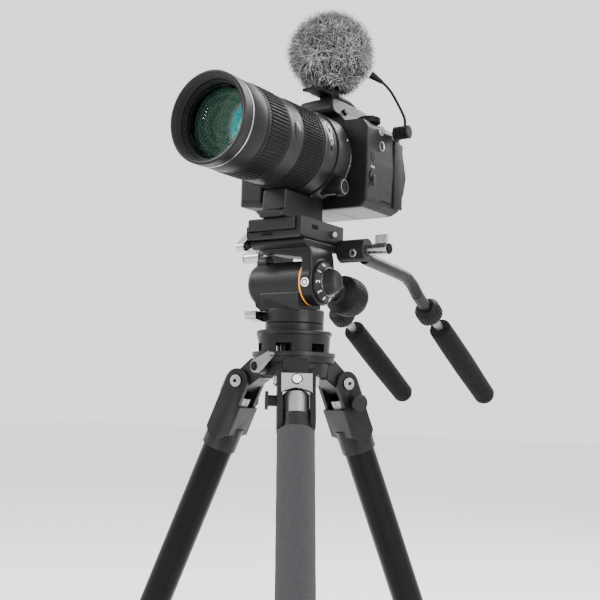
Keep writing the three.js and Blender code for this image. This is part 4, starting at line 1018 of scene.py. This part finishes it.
def leg_tubes(name, hinge, down):
    """The upper tube with its neck band, and the tube that slides out of it."""
    spin(f"{name}_tube", [
        (15, 0), (15, 12.2), (15.4, NECK_R), (75.3, NECK_R), (75.3, 15.6), (75.7, TUBE_R),
        (TUBE_END - 0.4, TUBE_R), (TUBE_END, 15.6), (TUBE_END, 13.3), (100.3, 13.3), (100.3, 0),
    ], hinge, down, f"{name}_leg", "leg_tube", replaces=(f"{name}_leg_upper_tube",))
    spin(f"{name}_neck_band", [
        (15.6, NECK_R - 0.1), (15.6, NECK_R + 0.1), (58, NECK_R + 0.1), (58, NECK_R - 0.1),
    ], hinge, down, f"{name}_leg", "grey_metal", loop=True)
    spin(f"{name}_inner_tube", [
        (574, 0), (574, INNER_BORE), (120, INNER_BORE), (120, INNER_R - 0.4), (120.4, INNER_R),
        (INNER_END - 0.4, INNER_R), (INNER_END, INNER_R - 0.4), (INNER_END, 0),
    ], hinge, down, f"{name}_lower_leg", "leg_tube", replaces=(f"{name}_leg_lower_tube",))


def leg_latch(name, hinge, down, face):
    """The latch that sets the leg's spread, with its white dot."""
    dress(f"{name}_leg_angle_latch", bevel=0.35)
    dot = hinge + down * 5.5
    spin(f"{name}_latch_disc", [(17, 4.4), (17.7, 4.4), (17.9, 4.1), (17.9, 0)], dot, face, f"{name}_latch",
         "silver_metal", WHITE, sides=48)
    # The groove round the disc is a near-black ring of painted shade.
    spin(f"{name}_latch_groove", [(17, 4.5), (17.5, 4.5), (17.5, 5.5), (17, 5.5)], dot, face,
         f"{name}_latch", "silver_metal", DARK_AND_PAINTED_SHADE, sides=48, loop=True)


def make_leg(name, azimuth):
    """One leg, whose name starts the names of its pieces."""
    hinge, down, face, axle = leg_frame(azimuth)
    dress(f"{name}_leg_shoulder", bevel=0.8)
    leg_tubes(name, hinge, down)
    dress(f"{name}_leg_pivot_bolt", bevel=0.35)
    leg_latch(name, hinge, down, face)
    for end, sign in (("a", 1), ("b", -1)):
        screw(f"{name}_bolt_socket_{end}", hinge + axle * (BOLT_END * sign), axle * sign, 4.6, "stand")
    top, seat = 460, TUBE_END + 0.3
    spin(f"{name}_lock_grip", [
        (top, 16.4), (top, 17.4), (top + 3, 19.2, 19.2), (top + 5, 18.6, 20), (seat + 8, 18.6, 20),
        (seat + 11, 19, 19.4), (seat + 14.2, 17.4), (seat + 14.2, 13.2), (seat, 13.2), (seat, 16.4),
    ], hinge, down, f"{name}_lock", "black_rubber", replaces=(f"{name}_leg_twist_lock",), ribs=32, loop=True)
    dress(f"{name}_leg_foot", bevel=0.5)


def leg_sleeve():
    """The front leg's foam sleeve, a little uneven along its length."""
    hinge, down, _, _ = leg_frame(LEG_AZIMUTHS["front"])
    rows = [(52, 16.3), (52, 17.2), (52.8, 18)]
    ripples, ripple = 24, 0.12
    rows += [(54 + 273 * i / ripples, 18.1 + ripple * math.sin(i * 2.1)) for i in range(ripples + 1)]
    rows += [(329.2, 18), (330, 17.2), (330, 16.3)]
    sleeve = spin("front_leg_sleeve", rows, hinge, down, "front_leg", "leg_foam",
                  replaces=("front_leg_foam_sleeve",), sides=96, loop=True, sharp=50)


for leg, leg_azimuth in LEG_AZIMUTHS.items():
    make_leg(leg, leg_azimuth)
leg_sleeve()


# ---- stage ---------------------------------------------------------------------------------------
FLOOR_REACH = 14  # metres, as are the lights' places and sizes below
SKY_STRENGTH = 1.7
LIGHTS = (  # name, place, size, power in watts
    ("key", (-2.2, -1.2, 2.2), 1.2, 100),
    ("fill", (2.4, -0.9, 1.3), 1.2, 60),
    ("rim", (0.6, 2.4, 2.6), 1.8, 90),
)


def stage():
    """A pale floor, an even sky and three soft lights."""
    mesh = bpy.data.meshes.new("floor")
    corners = [(x * FLOOR_REACH, y * FLOOR_REACH, 0) for x, y in ((-1, -1), (1, -1), (1, 1), (-1, 1))]
    mesh.from_pydata(corners, [], [(0, 1, 2, 3)])
    floor = add_object("floor", mesh)
    mesh.materials.append(surface("floor", (0.9, 0.9, 0.9), 0.85, 0.0, 300, 0.02, 0.01))
    world = bpy.data.worlds.new("studio")
    bpy.context.scene.world = world
    world.use_nodes = True
    world.node_tree.nodes["Background"].inputs["Color"].default_value = (1, 1, 1, 1)
    world.node_tree.nodes["Background"].inputs["Strength"].default_value = SKY_STRENGTH
    target = at(0, 0, 60)
    for name, place, size, power in LIGHTS:
        data = bpy.data.lights.new(name, "AREA")
        data.size = size
        data.energy = power
        light = add_object(name, data)
        light.location = place
        light.rotation_euler = (target - Vector(place)).to_track_quat("-Z", "Y").to_euler()


stage()
